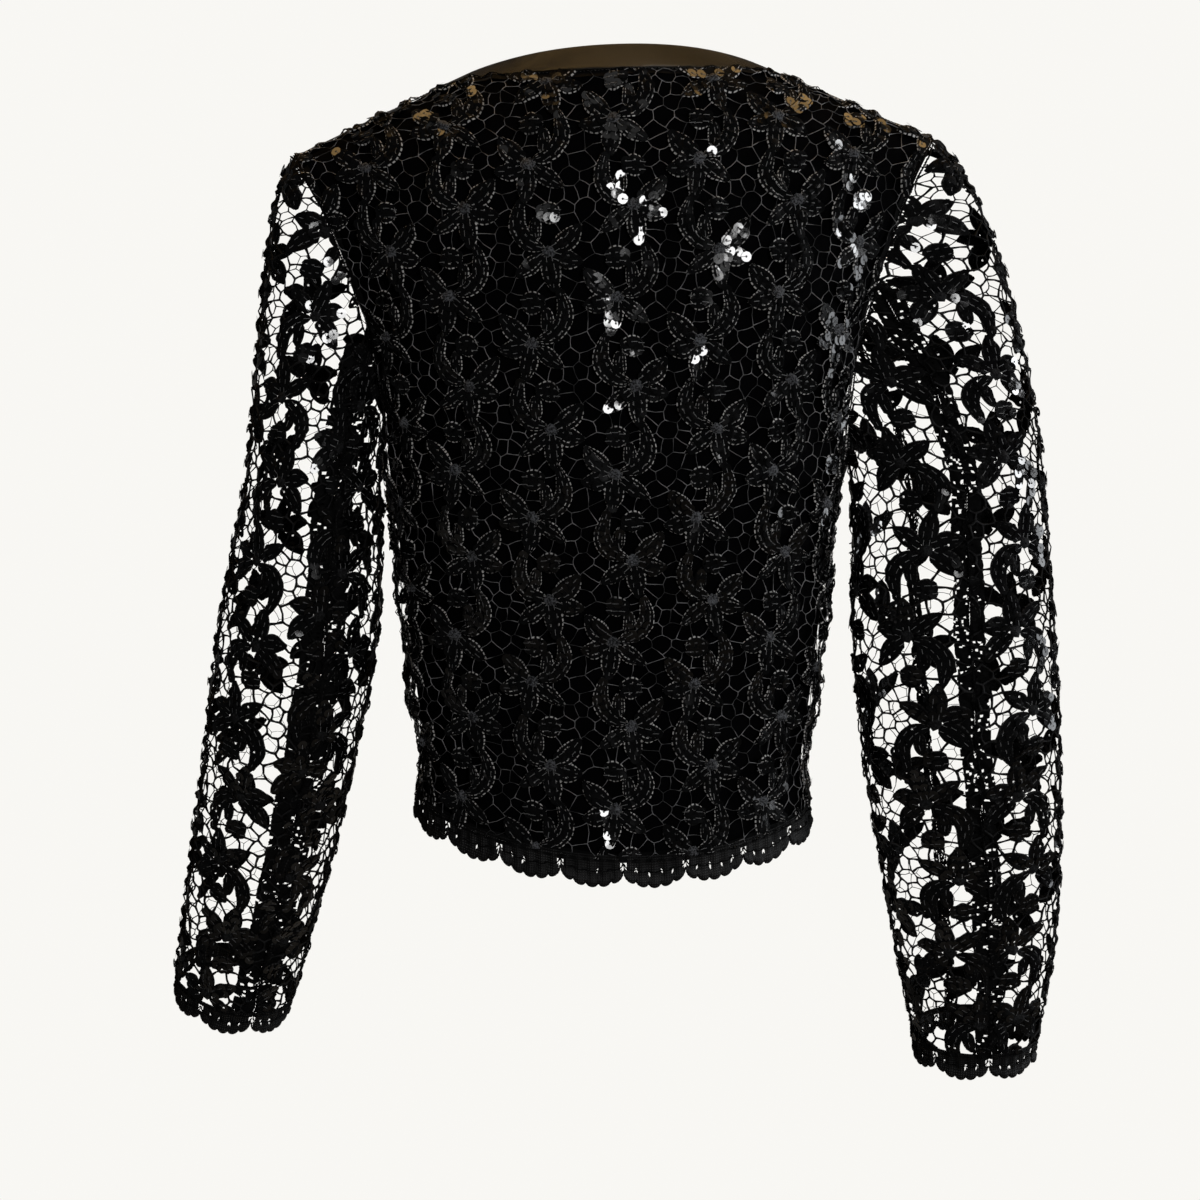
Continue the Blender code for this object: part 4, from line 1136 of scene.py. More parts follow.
def evenly(line, spacing):
    """A line of flat points divided evenly."""
    length = lengths_along(line)
    at = np.linspace(0, length[-1], max(2, round(length[-1] / spacing)) + 1)
    return np.stack([np.interp(at, length, line[:, k]) for k in range(2)], axis=1)


def cut_off(outline, starts, ends):
    """Threads shortened to what lies inside an outline."""
    shares = np.linspace(0, 1, 9)
    samples = starts[:, None] + (ends - starts)[:, None] * shares[None, :, None]
    within = inside(outline, samples.reshape(-1, 2)).reshape(-1, len(shares))
    rows = np.arange(len(starts))
    first = within.argmax(axis=1)
    last = len(shares) - 1 - within[:, ::-1].argmax(axis=1)
    keep = within.any(axis=1) & (last > first)
    return samples[rows, first][keep], samples[rows, last][keep]


def lace_parts(cut, thickness, parts):
    """The charted lace of a piece: its leaves, knots and net."""
    rng = np.random.default_rng(NET_SEED)
    points, faces, stitches, finishes, curl, _ = motif()
    outline = cut.outline
    low, high = outline.min(axis=0) - MOTIF_ACROSS, outline.max(axis=0) + MOTIF_ACROSS
    for x, y, way in motif_places(outline, cut.up):
        if not (low[0] < x < high[0] and low[1] < y < high[1]):
            continue
        placed = points * [way, cut.up, 1.0] + [x, y, LACE_MIDDLE]
        middles = placed[faces][:, :, :2].mean(axis=1)
        mine = inside(outline, middles) & ~(curl & (cut.facing(middles) < FRONT_FACING))
        mine &= (finishes != PINHOLE) | (rng.random(len(finishes)) > PINHOLE_SHARE)
        if mine.any():
            turned = faces[mine] if way * cut.up > 0 else faces[mine][:, ::-1]
            parts.add(placed, turned, stitches, np.where(finishes == PINHOLE, LEAF, finishes)[mine])
    period = np.array([2 * MOTIF_ACROSS, 2 * MOTIF_UP])
    reach = np.ceil(np.abs(outline).max(axis=0) / period).astype(int) + 1
    shifts = [(a, b) for a in range(-reach[0], reach[0]) for b in range(-reach[1], reach[1])]
    shifts = np.array(shifts) * period
    for on_front, chart in ((False, (len(LEAVES), NET_CELLS)), (True, (FLOWER_LEAVES, FRONT_CELLS))):
        starts, ends = net_threads(*chart)
        starts = (starts[None] + shifts[:, None]).reshape(-1, 2) * [1.0, cut.up]
        ends = (ends[None] + shifts[:, None]).reshape(-1, 2) * [1.0, cut.up]
        near = np.all((starts > low) & (starts < high), axis=1)
        near &= (cut.facing((starts + ends) / 2) < FRONT_FACING) == on_front
        if near.any():
            starts, ends = cut_off(outline, starts[near], ends[near])
            bow = rng.uniform(-THREAD_BOW, THREAD_BOW, len(starts))
            thread_parts(starts, ends, thickness * cut.weight(starts), LACE_MIDDLE, parts, bow)


def allowance_parts(cut, thickness, parts):
    """The lace turned in along each side of a sleeve piece, close and dark, and the seam's stitches. On the
    left sleeve it is wider, and its dark strip also stands in as painted shade.
    """
    rng = np.random.default_rng(NET_SEED)
    cuff = cut.outline[:, 1].min()
    for turn, out in zip(cut.turns, (-1.0, 1.0)):
        top = cut.sleeve.cap_at(cut.middle + turn)
        heights = np.linspace(cuff, top, math.ceil((top - cuff) / ALLOWANCE_ROW))
        seam = turn * cut.sleeve.girth_at(heights) / math.tau
        wide = ALLOWANCE_COLUMNS + 1
        on_front = math.sin(cut.middle + turn) < FRONT_FACING
        deep = ALLOWANCE["front" if on_front else cut.sleeve.side]
        inward = -out * np.linspace(SEAM_GAP / 2, deep, wide)
        x = seam[:, None] + inward[None, :]
        y = np.broadcast_to(heights[:, None], x.shape)
        points = np.stack([x, y, np.full(x.shape, LACE_MIDDLE - ALLOWANCE_DEPTH)], axis=2).reshape(-1, 3)
        points[:, :2] += rng.uniform(-0.25, 0.25, (len(points), 2)) * ALLOWANCE_ROW
        corners = (np.arange(len(heights) - 1)[:, None] * wide + np.arange(wide - 1)[None, :]).ravel()
        corners = corners[rng.random(len(corners)) > ALLOWANCE_OPEN]
        ring = (0, wide, wide + 1, 1) if out > 0 else (0, 1, wide + 1, wide)
        faces = corners[:, None] + np.array(ring)[None, :]
        stitches = np.column_stack([points[:, 1], np.zeros(len(points))])
        parts.add(points, faces, stitches, LEAF)
        rungs = evenly(np.stack([seam, heights], axis=1), OVERLOCK_PITCH)
        near = rungs - [out * OVERLOCK_REACH, 0.0]
        far = rungs - [out * SEAM_GAP / 2, 0.0]
        thread_parts(near, far, np.full(len(rungs), thickness), LACE_MIDDLE, parts, finish=LEAF)


def turned_edge_parts(cut, parts):
    """The lace turned in all round a body piece, which closes its seams."""
    count = len(cut.outline)
    rows = [moved_in(cut.outline, np.full(count, distance)) for distance in TURNED_EDGE]
    points = np.column_stack([np.concatenate(rows), np.full(count * len(rows), LACE_MIDDLE - TURNED_DEPTH)])
    here = np.arange(count)
    after = (here + 1) % count
    ring = np.stack([here, after, count + after, count + here], 1)
    faces = [n * count + ring for n in range(len(rows) - 1)]
    parts.add(points, np.concatenate(faces), points[:, :2] * 1.0, LEAF)


def edge_parts(cut, thickness, parts):
    """A stitched edge all round a piece, by which it is sewn to its neighbours."""
    ring = np.concatenate([cut.outline, cut.outline[:1]])
    line = evenly(ring, 2.2 * thickness)
    chain_parts(line, thickness * 1.3, LACE_MIDDLE, parts, LEAF)


def mesh_object(name, points, faces, stitches, slots, finishes):
    """An object at the origin from points, faces and the stitch place of each point."""
    mesh = bpy.data.meshes.new(name)
    mesh.from_pydata(points.tolist(), [], faces)
    corners = np.fromiter((corner for face in faces for corner in face), int)
    layer = mesh.uv_layers.new(name="stitches")
    layer.data.foreach_set("uv", stitches[corners].astype(np.float32).reshape(-1))
    for finish in finishes:
        mesh.materials.append(finish)
    mesh.polygons.foreach_set("material_index", np.asarray(slots, np.int32))
    mesh.shade_smooth()
    mesh.update()
    made = bpy.data.objects.new(name, mesh)
    bpy.context.scene.collection.objects.link(made)
    return made


def laid_object(name, parts, lay, finishes, wander=True):
    """A piece from flat parts laid on the form, with its faces turned outwards."""
    points, faces, stitches, slots = parts.gathered()
    used, faces = np.unique(faces, return_inverse=True)
    faces = faces.reshape(-1, 4)
    points, stitches = points[used], stitches[used]
    flat = wandered(points) if wander else points
    step = GRID_STEP / 4
    placed = lay(flat[:, 0], flat[:, 1], flat[:, 2])
    by_across = lay(flat[:, 0] + step, flat[:, 1], flat[:, 2]) - placed
    by_along = lay(flat[:, 0], flat[:, 1] + step, flat[:, 2]) - placed
    by_out = lay(flat[:, 0], flat[:, 1], flat[:, 2] + step) - placed
    turned = np.sum(np.cross(by_across, by_along) * by_out, axis=1)[faces[:, 0]] < 0
    faces[turned] = faces[turned][:, ::-1]
    return mesh_object(name, placed, faces.tolist(), stitches, slots, finishes)


@lru_cache(maxsize=1)
def sequin_shape():
    """One sequin of radius 1, with its hole, dished a little."""
    bpy.ops.mesh.primitive_circle_add(vertices=SEQUIN_SIDES, radius=1.0, fill_type="NOTHING")
    ring = bpy.context.object
    bpy.ops.object.mode_set(mode="EDIT")
    bpy.ops.mesh.select_all(action="SELECT")
    bpy.ops.mesh.extrude_edges_move()
    bpy.ops.transform.resize(value=(SEQUIN_HOLE, SEQUIN_HOLE, 1.0))
    bpy.ops.transform.translate(value=(0.0, 0.0, -SEQUIN_DISH))
    bpy.ops.object.mode_set(mode="OBJECT")
    points = np.array([vertex.co for vertex in ring.data.vertices])
    faces = np.array([list(face.vertices) for face in ring.data.polygons])
    bpy.data.objects.remove(ring, do_unlink=True)
    first, second, third = (points[faces[:, k]] for k in range(3))
    down = np.cross(second - first, third - first)[:, 2] < 0
    faces[down] = faces[down][:, ::-1]
    return points, faces


def sequin_places(cut):
    """Where a piece's sequins lie and the way their strings run, on the flat cloth."""
    rows = motif()[-1]
    low, high = cut.outline.min(axis=0), cut.outline.max(axis=0)
    spots = motif_places(cut.outline, cut.up)
    places = np.concatenate([rows[:, :2] * [way, cut.up] + [x, y] for x, y, way in spots])
    ways = np.concatenate([rows[:, 2:4] * [way, cut.up] for _, _, way in spots])
    on_curl = np.tile(rows[:, 4] >= FLOWER_LEAVES, len(spots))
    near = np.all((places > low) & (places < high), axis=1)
    near &= ~(on_curl & (cut.facing(places) < FRONT_FACING))
    places, ways = places[near], ways[near]
    keep = inside(cut.outline, places) & (distance_to(cut.outline, places) > SEQUIN_EDGE_GAP)
    return places[keep], ways[keep]


def unit(vectors):
    return vectors / np.linalg.norm(vectors, axis=-1, keepdims=True)


def sequin_object(cut, radius, finishes):
    """A piece's sequins, overlapping along their strings, and the stitch that holds each of them."""
    rng = np.random.default_rng(SEQUIN_SEED)
    places, ways = sequin_places(cut)
    count = len(places)
    flat = wandered(np.column_stack([places, np.full(count, LACE_MIDDLE + SEQUIN_LIFT)]))
    step = GRID_STEP / 4
    middle = cut.lay(flat[:, 0], flat[:, 1], flat[:, 2])
    ahead = cut.lay(flat[:, 0] + ways[:, 0] * step, flat[:, 1] + ways[:, 1] * step, flat[:, 2]) - middle
    out = unit(cut.lay(flat[:, 0], flat[:, 1], flat[:, 2] + step) - middle)
    aside = unit(np.cross(out, ahead))
    ahead = np.cross(aside, out)
    a = places[:, 0] * math.tau / SEQUIN_SWAY["across"]
    b = places[:, 1] * math.tau / SEQUIN_SWAY["up"]
    sway = SEQUIN_SWAY["reach"] * np.sin(np.stack([a + 1.7 * np.sin(b), b + 1.9 * np.sin(a + 1.0)]))
    lifted, rolled = (sway + rng.normal(0, SEQUIN_LOOSE_TILT, (2, count)))[:, :, None]
    lifted = lifted + SEQUIN_OVERLAP_TILT
    ahead, out = ahead * np.cos(lifted) + out * np.sin(lifted), out * np.cos(lifted) - ahead * np.sin(lifted)
    aside, out = aside * np.cos(rolled) + out * np.sin(rolled), out * np.cos(rolled) - aside * np.sin(rolled)
    shape, faces = sequin_shape()
    half = STITCH_WIDTH / 2 / radius
    stitch = np.array([(x, y, STITCH_LIFT / radius) for x in (-1.05, 0.15) for y in (-half, half)])
    pattern = np.concatenate([shape, stitch])
    first = len(shape)
    faces = np.concatenate([faces, [(first, first + 2, first + 3, first + 1)]])
    axes = np.stack([ahead, aside, out], axis=1)
    points = middle[:, None] + radius * np.einsum("pk,nkj->npj", pattern, axes)
    every = (faces[None] + len(pattern) * np.arange(count)[:, None, None]).reshape(-1, 4)
    slots = np.tile(np.arange(len(faces)) == len(faces) - 1, count)
    stitches = np.tile(pattern[:, :2] * radius, (count, 1))
    name = cut.name + "_sequins"
    return mesh_object(name, points.reshape(-1, 3), every.tolist(), stitches, slots, finishes)


def lining_object(name, outline, lay, finish):
    """A lining piece: a smooth thin shell inside the lace, close to it by the neck, shoulder and armhole."""
    flat, faces = flat_mesh(outline, LINING_SPACING)
    found, distance = nearest_on([outline], flat)
    above = np.clip((found[:, 1] - LINING_EASE) / LINING_EASE, 0, 1)
    near = above * np.clip(1 - distance / LINING_EASE, 0, 1)
    points = lay(flat[:, 0], flat[:, 1], -LINING_INSET + (LINING_INSET - LINING_NEAR) * near)
    outside = lay(flat[:, 0], flat[:, 1], 0.0)
    corners = points[faces]
    facing = np.cross(corners[:, 1] - corners[:, 0], corners[:, 2] - corners[:, 0])
    if np.sum(facing * (outside - points)[faces[:, 0]]) < 0:
        faces = faces[:, ::-1]
    made = mesh_object(name, points, faces.tolist(), flat, np.zeros(len(faces)), [finish])
    wall = made.modifiers.new("wall", "SOLIDIFY")
    wall.thickness = LINING_WALL
    wall.offset = -1.0
    for other in bpy.context.selected_objects:
        other.select_set(False)
    bpy.context.view_layer.objects.active = made
    made.select_set(True)
    bpy.ops.object.modifier_apply(modifier="wall")
    return made


def hem_lay(back, front):
    """How the edging hangs from the hem: across runs from one front edge round the back to the other."""
    side_back, side_front = side_seam(SIDE_HEM_LEVEL, False), side_seam(SIDE_HEM_LEVEL, True)

    def lay(across, drop, out=0.0):
        out = np.broadcast_to(out, np.shape(across))
        placed = np.zeros((len(across), 3))
        on_back = np.abs(across) <= side_back
        fronts = np.sign(across) * (side_back + side_front - np.abs(across))
        height_back = hem_height(across, side_back, False) + drop
        height_front = hem_height(fronts, side_front, True) + drop
        placed[on_back] = back.lay_mirrored(across[on_back], height_back[on_back], out[on_back])
        off = ~on_back
        placed[off] = front.lay_mirrored(fronts[off], height_front[off], out[off])
        return placed

    return lay, side_back + side_front - FRONT_OPENING / 2


def cuff_lay(sleeve):
    """How the edging hangs from a cuff, from the hind seam round the arm, and how far that is."""
    cuff = sleeve.cuff()
    girth = float(sleeve.girth_at(cuff))

    def lay(across, drop, out=0.0):
        scaled = across * sleeve.girth_at(cuff + drop) / girth
        return sleeve.lay(scaled, cuff + drop, out, HIND_SEAM[sleeve.side])

    return lay, girth


def scallop_depth(share):
    """How deep a scallop hangs at a share of its width, with its lobes."""
    curve = np.clip(1 - (2 * share - 1) ** 2, 0, 1) ** SCALLOP_ROUNDNESS
    lobe = np.mod(share * SCALLOP_LOBES, 1.0)
    dip = LOBE_DEPTH * np.sqrt(np.clip(1 - (2 * lobe - 1) ** 2, 0, 1))
    return SCALLOP_SHOULDER + (SCALLOP_DEPTH - LOBE_DEPTH - SCALLOP_SHOULDER) * curve + dip


def edging_parts(start, end, count, cord):
    """The scalloped edging laid flat: ribs with pinholes, a stitched heading, and an arch and lobes each."""
    parts = Parts()
    rng = np.random.default_rng(NET_SEED)
    width = (end - start) / count
    columns = SCALLOP_LOBES * LOBE_COLUMNS
    shares = np.linspace(0, 1, columns + 1)
    rows = np.linspace(0, 1, EDGING_ROWS + 1)
    depth = scallop_depth(shares)
    ribs = RIB_HEIGHT * np.cos(math.tau * (SCALLOP_LOBES * shares - 0.5))
    lip = 2 * RIB_HEIGHT * np.sin(math.pi * np.clip((rows - 0.7) / 0.3, 0, 1))
    for n in range(count):
        x = start + (n + shares) * width
        drop = HEADING - rows[None, :] * (HEADING + depth[:, None])
        over_hem = EDGING_OVER_HEM * np.clip((drop + HEADING) / (2 * HEADING), 0, 1)
        height = EDGING_MIDDLE + ribs[:, None] * np.sin(math.pi * rows[None, :]) + lip[None, :] + over_hem
        points = np.stack([np.broadcast_to(x[:, None], drop.shape), drop, height], axis=2)
        wide = EDGING_ROWS + 1
        faces = []
        for i in range(columns):
            for j in range(EDGING_ROWS):
                aside = min(i + 0.5, columns - i - 0.5) * width / columns
                below = -(drop[i, j] + drop[i, j + 1]) / 2
                at_joint = aside < JOINT_HOLE_HALF and abs(below - JOINT_HOLE_DROP) < JOINT_HOLE_HALF
                by_rib = i % LOBE_COLUMNS in (0, LOBE_COLUMNS - 1) and j in (5, 6)
                pinhole = by_rib and 0.15 < shares[i] < 0.85 and rng.random() < EDGING_PINHOLE_SHARE
                if not at_joint and not pinhole:
                    corner = i * wide + j
                    faces.append((corner, corner + 1, corner + wide + 1, corner + wide))
        parts.add(points.reshape(-1, 3), faces, points.reshape(-1, 3)[:, :2], LEAF)
        edge = np.stack([x, 0.35 * cord - depth], axis=1)
        for lobe in range(SCALLOP_LOBES):
            low, high = lobe * LOBE_COLUMNS, (lobe + 1) * LOBE_COLUMNS + 1
            chain_parts(evenly(edge[low:high], 1.3 * cord), cord, EDGING_MIDDLE, parts)
        arch = np.stack([x, -SCALLOP_SHOULDER * 0.30 - (depth - SCALLOP_SHOULDER) * 0.55], axis=1)
        chain_parts(evenly(arch, 1.6 * cord), 0.8 * cord, EDGING_MIDDLE + RIB_HEIGHT, parts)
    for drop in (0.6 * HEADING, -0.3 * HEADING):
        line = np.array([(start, drop), (end, drop)])
        over_hem = EDGING_OVER_HEM * (drop + HEADING) / (2 * HEADING)
        chain_parts(evenly(line, 1.4 * cord), cord, EDGING_MIDDLE + over_hem, parts)
    return parts


def band_object(name, back, front, finish):
    """The satin band round the neck: a folded strip with soft edges, from one front edge to the other."""
    section = []
    for turn in np.linspace(0, math.tau, BAND_SIDES, endpoint=False):
        wide, thick = math.cos(turn), math.sin(turn)
        above = BAND_WIDTH / 2 * (1 - math.copysign(abs(wide) ** 0.3, wide))
        out = BAND_WALL / 2 * (math.copysign(abs(thick) ** 0.6, thick) - 1)
        section.append((max(above, SEAM_GAP / 2), out))
    rings = []
    for above, out in section:
        flat_front = neckline(True, above, neck_shares(True))
        flat_back = neckline(False, above, neck_shares(False)[::-1][1:])
        half = np.concatenate([
            front.lay(flat_front[:, 0], flat_front[:, 1], out),
            back.lay(flat_back[:, 0], flat_back[:, 1], out),
        ])
        other = half[:-1][::-1] * np.array([-1.0, 1.0, 1.0])
        rings.append(leant(np.concatenate([half, other])))
    rings = np.array(rings)
    length = lengths_along(rings[0])
    outward = unit(rings[0] - rings[BAND_SIDES // 2])
    pucker = BAND_PUCKER * np.sin(math.tau * length / BAND_PUCKER_PITCH)
    sides, wide = rings.shape[:2]
    faces = []
    for s in range(sides):
        after = (s + 1) % sides
        for i in range(wide - 1):
            faces.append((s * wide + i, s * wide + i + 1, after * wide + i + 1, after * wide + i))
    faces.append(tuple(s * wide for s in range(sides)))
    faces.append(tuple(s * wide + wide - 1 for s in reversed(range(sides))))
    rings[1 : sides // 4] += (pucker[:, None] * outward)[None]
    heights = np.array([above for above, _ in section])
    stitches = np.stack(np.broadcast_arrays(length[None, :], heights[:, None]), axis=2).reshape(-1, 2)
    made = mesh_object(name, rings.reshape(-1, 3), faces, stitches, np.zeros(len(faces)), [finish])
    return made, float(length[-1])


# Finishes

class Nodes:
    """A material's node tree, with short calls for the nodes that the finishes use."""

    def __init__(self, name, colour, roughness, specular):
        self.material = bpy.data.materials.new(name)
        self.material.use_nodes = True
        self.tree = self.material.node_tree
        self.shader = self.tree.nodes["Principled BSDF"]
        self.shader.inputs["Base Color"].default_value = (*colour, 1.0)
        self.shader.inputs["Roughness"].default_value = roughness
        self.shader.inputs["Specular IOR Level"].default_value = specular
        self.material.diffuse_color = (*colour, 1.0)

    def link(self, out, into):
        self.tree.links.new(out, into)

    def stitches(self):
        """The stitch map: along the stitches in metres, and across them."""
        node = self.tree.nodes.new("ShaderNodeUVMap")
        node.uv_map = "stitches"
        apart = self.tree.nodes.new("ShaderNodeSeparateXYZ")
        self.link(node.outputs["UV"], apart.inputs[0])
        return node.outputs["UV"], apart.outputs["X"], apart.outputs["Y"]

    def place(self):
        return self.tree.nodes.new("ShaderNodeTexCoord").outputs["Object"]

    def maths(self, operation, first, second=0.0):
        node = self.tree.nodes.new("ShaderNodeMath")
        node.operation = operation
        for socket, value in zip(node.inputs, (first, second)):
            if isinstance(value, (int, float)):
                socket.default_value = value
            else:
                self.link(value, socket)
        return node.outputs[0]

    def between(self, value, low, high, to_low=0.0, to_high=1.0):
        """A value eased from one range to another."""
        node = self.tree.nodes.new("ShaderNodeMapRange")
        node.interpolation_type = "SMOOTHSTEP"
        self.link(value, node.inputs["Value"])
        for name, number in (("From Min", low), ("From Max", high), ("To Min", to_low), ("To Max", to_high)):
            node.inputs[name].default_value = number
        return node.outputs["Result"]

    def noise(self, where, scale, detail=2.0):
        node = self.tree.nodes.new("ShaderNodeTexNoise")
        self.link(where, node.inputs["Vector"])
        node.inputs["Scale"].default_value = scale
        node.inputs["Detail"].default_value = detail
        return node.outputs["Fac"]

    def waves(self, value, pitch):
        """Waves of a pitch in metres along a value, from 0 to 1."""
        turned = self.maths("MULTIPLY", value, math.tau / pitch)
        return self.maths("MULTIPLY_ADD", self.maths("SINE", turned), 0.5)

    def mixed(self, share, first, second):
        node = self.tree.nodes.new("ShaderNodeMix")
        node.data_type = "RGBA"
        self.link(share, node.inputs["Factor"])
        for socket, value in zip((node.inputs[6], node.inputs[7]), (first, second)):
            if isinstance(value, tuple):
                socket.default_value = (*value, 1.0)
            else:
                self.link(value, socket)
        return node.outputs[2]

    def coloured(self, share, first, second):
        self.link(self.mixed(share, first, second), self.shader.inputs["Base Color"])

    def rough(self, share, low, high):
        self.link(self.between(share, 0.0, 1.0, low, high), self.shader.inputs["Roughness"])

    def raised(self, height, distance, strength=1.0):
        node = self.tree.nodes.new("ShaderNodeBump")
        node.inputs["Distance"].default_value = distance
        node.inputs["Strength"].default_value = strength
        self.link(height, node.inputs["Height"])
        self.link(node.outputs["Normal"], self.shader.inputs["Normal"])


def shade(colour, times):
    return tuple(channel * times for channel in colour)


def thread_finish(name, colour):
    """Twisted net thread, lighter where it is worn."""
    nodes = Nodes(name, colour, 0.8, 0.08)
    _, along, around = nodes.stitches()
    slant = nodes.maths("ADD", along, nodes.maths("MULTIPLY", around, THREAD_TWIST))
    twist = nodes.waves(slant, THREAD_TWIST)
    worn = nodes.noise(nodes.place(), 90.0)
    nodes.coloured(nodes.between(worn, 0.40, 0.62), shade(colour, 0.22), shade(colour, 1.6))
    nodes.rough(worn, 0.6, 0.9)
    nodes.raised(twist, 0.0002, 0.8)
    return nodes.material


def leaf_finish(name, colour, dash_highlight_colour):
    """Satin stitch running out from a leaf's middle line, with dashed lines of thread along it, painted
    light grey: a painted highlight on the black thread.
    """
    nodes = Nodes(name, colour, 0.75, 0.05)
    _, along, across = nodes.stitches()
    aside = nodes.maths("ABSOLUTE", across)
    slant = nodes.maths("ADD", along, nodes.maths("MULTIPLY", aside, STITCH_SLANT))
    stitches = nodes.waves(slant, STITCH_PITCH)
    dashes = nodes.between(nodes.waves(along, DASH_PITCH), 0.25, 0.55)
    # worn only breaks the painted highlight of the dashes into patches.
    worn = nodes.between(nodes.noise(nodes.place(), 60.0), 0.30, 0.50)
    lines = []
    for middle, reach in DASHED_LINES:
        off_line = nodes.maths("ABSOLUTE", nodes.maths("SUBTRACT", aside, middle))
        lines.append(nodes.between(off_line, reach * 0.6, reach, 1.0, 0.0))
    lit = nodes.maths("MULTIPLY", nodes.maths("MAXIMUM", *lines), nodes.maths("MULTIPLY", dashes, worn))
    nodes.coloured(lit, colour, dash_highlight_colour)
    nodes.rough(stitches, 0.55, 0.8)
    nodes.raised(stitches, 0.00025, 0.8)
    return nodes.material


def knot_finish(name, colour):
    """A tangle of lighter thread, with painted shade in its hollows and a painted highlight on its raised
    threads.
    """
    nodes = Nodes(name, colour, 0.85, 0.15)
    tangle = nodes.noise(nodes.place(), 900.0, 3.0)
    # The colour follows the tangle's relief: painted shade and painted highlight.
    nodes.coloured(nodes.between(tangle, 0.42, 0.58), shade(colour, 0.15), shade(colour, 1.6))
    nodes.raised(tangle, 0.0006, 1.0)
    return nodes.material


def edging_finish(name, colour, loop_highlight_colour):
    """Close crochet worked out from the arch of each scallop, with the raised tops of its loops painted
    lighter in patches: a painted highlight.
    """
    nodes = Nodes(name, colour, 0.7, 0.15)
    _, along, down = nodes.stitches()
    rows = nodes.waves(down, CROCHET_PITCH)
    loops = nodes.waves(along, CROCHET_PITCH)
    height = nodes.maths("MULTIPLY", rows, loops)
    # worn only breaks the painted highlight on the loops' tops into patches.
    worn = nodes.between(nodes.noise(nodes.place(), 60.0), 0.40, 0.62)
    lit = nodes.maths("MULTIPLY", nodes.between(height, 0.45, 0.8), worn)
    nodes.coloured(lit, colour, loop_highlight_colour)
    nodes.rough(height, 0.6, 0.85)
    nodes.raised(height, 0.0003, 1.0)
    return nodes.material


def sequin_finish(name, colour):
    """Glossy black plastic with a faint wave and a few scratches."""
    nodes = Nodes(name, colour, 0.12, 0.40)
    where = nodes.place()
    wave = nodes.noise(where, 160.0, 1.0)
    worn = nodes.noise(where, 35.0)
    nodes.coloured(worn, shade(colour, 0.6), shade(colour, 1.4))
    nodes.rough(nodes.between(worn, 0.35, 0.7), 0.06, 0.16)
    nodes.raised(wave, 0.0005, 0.05)
    return nodes.material


def stitch_finish(name, colour):
    """The thread that holds a sequin, a little shiny, with painted shade in the grooves of its ply."""
    nodes = Nodes(name, colour, 0.55, 0.2)
    _, along, _ = nodes.stitches()
    ply = nodes.waves(along, 0.0006)
    # The colour follows the ply's relief: painted shade in its grooves.
    nodes.coloured(ply, shade(colour, 0.4), colour)
    nodes.raised(ply, 0.0001)
    return nodes.material


def lining_finish(name, colour):
    """Plain lining cloth with a fine twill and soft puckers, painted darker in their hollows and lighter on
    their tops as shade and sheen.
    """
    nodes = Nodes(name, colour, 0.85, 0.01)
    where, across, along = nodes.stitches()
    diagonal = nodes.maths("ADD", across, along)
    twill = nodes.waves(diagonal, TWILL_PITCH)
    puckers = nodes.noise(where, 28.0)
    height = nodes.maths("ADD", nodes.maths("MULTIPLY", twill, 0.05), puckers)
    # The colour follows the puckers' relief: painted shade and painted sheen.
    nodes.coloured(puckers, shade(colour, 0.6), shade(colour, 1.5))
    nodes.rough(twill, 0.80, 0.92)
    nodes.raised(height, 0.002, 0.5)
    return nodes.material


def satin_finish(name, colour):
    """Folded satin: a soft shine, a fine weave and short puckers where it is sewn, with painted shade in the
    creases' hollows and painted sheen on their ridges.
    """
    nodes = Nodes(name, colour, 0.38, 0.28)
    _, along, across = nodes.stitches()
    place = nodes.place()
    weave = nodes.waves(nodes.maths("ADD", along, nodes.maths("MULTIPLY", across, 3.0)), SATIN_PITCH)
    creases = nodes.noise(place, 38.0, 3.0)
    height = nodes.maths("ADD", nodes.maths("MULTIPLY", weave, 0.03), creases)
    # The colour follows the creases' relief: painted shade and painted sheen.
    nodes.coloured(creases, shade(colour, 0.5), shade(colour, 1.6))
    nodes.rough(creases, 0.26, 0.44)
    nodes.raised(height, 0.0022, 0.6)
    return nodes.material


@lru_cache(maxsize=1)
def finishes():
    """Every finish of the jacket."""
    colours = bpy.context.scene.jacket_colours
    # The sleeve finishes are the body's, darkened: painted shade.
    sleeve_cord_painted_shade = shade(colours.cord_highlight, SLEEVE_PAINTED_SHADE)
    return dict(
        net=thread_finish("net_thread", tuple(colours.net)),
        edging_cord=thread_finish("edging_cord", tuple(colours.edging)),
        leaf=leaf_finish("satin_stitch", tuple(colours.leaf), tuple(colours.cord_highlight)),
        knot=knot_finish("flower_tangle", tuple(colours.knot)),
        sleeve_net_painted_shade=thread_finish("sleeve_thread_painted_shade", shade(colours.net, SLEEVE_PAINTED_SHADE)),
        sleeve_leaf_painted_shade=leaf_finish("sleeve_stitch_painted_shade", tuple(colours.leaf), sleeve_cord_painted_shade),
        sleeve_knot_painted_shade=knot_finish("sleeve_tangle_painted_shade", shade(colours.knot, 2 * SLEEVE_PAINTED_SHADE)),
        edging=edging_finish("crochet", tuple(colours.edging), shade(colours.cord_highlight, 0.10)),
        sequin=sequin_finish("sequin", tuple(colours.sequin)),
        stitch=stitch_finish("sequin_stitch", tuple(colours.stitch)),
        lining=lining_finish("lining_cloth", tuple(colours.lining)),
        satin=satin_finish("band_satin", tuple(colours.satin)),
    )


def lace_finishes(on_sleeve):
    """The finishes of a lace piece; a sleeve takes darker copies, painted shade for the light that comes
    through it from behind.
    """
    made = finishes()
    names = ("sleeve_net_painted_shade", "sleeve_leaf_painted_shade", "sleeve_knot_painted_shade") if on_sleeve else ("net", "leaf", "knot")
    return [made[name] for name in names]


# Stage

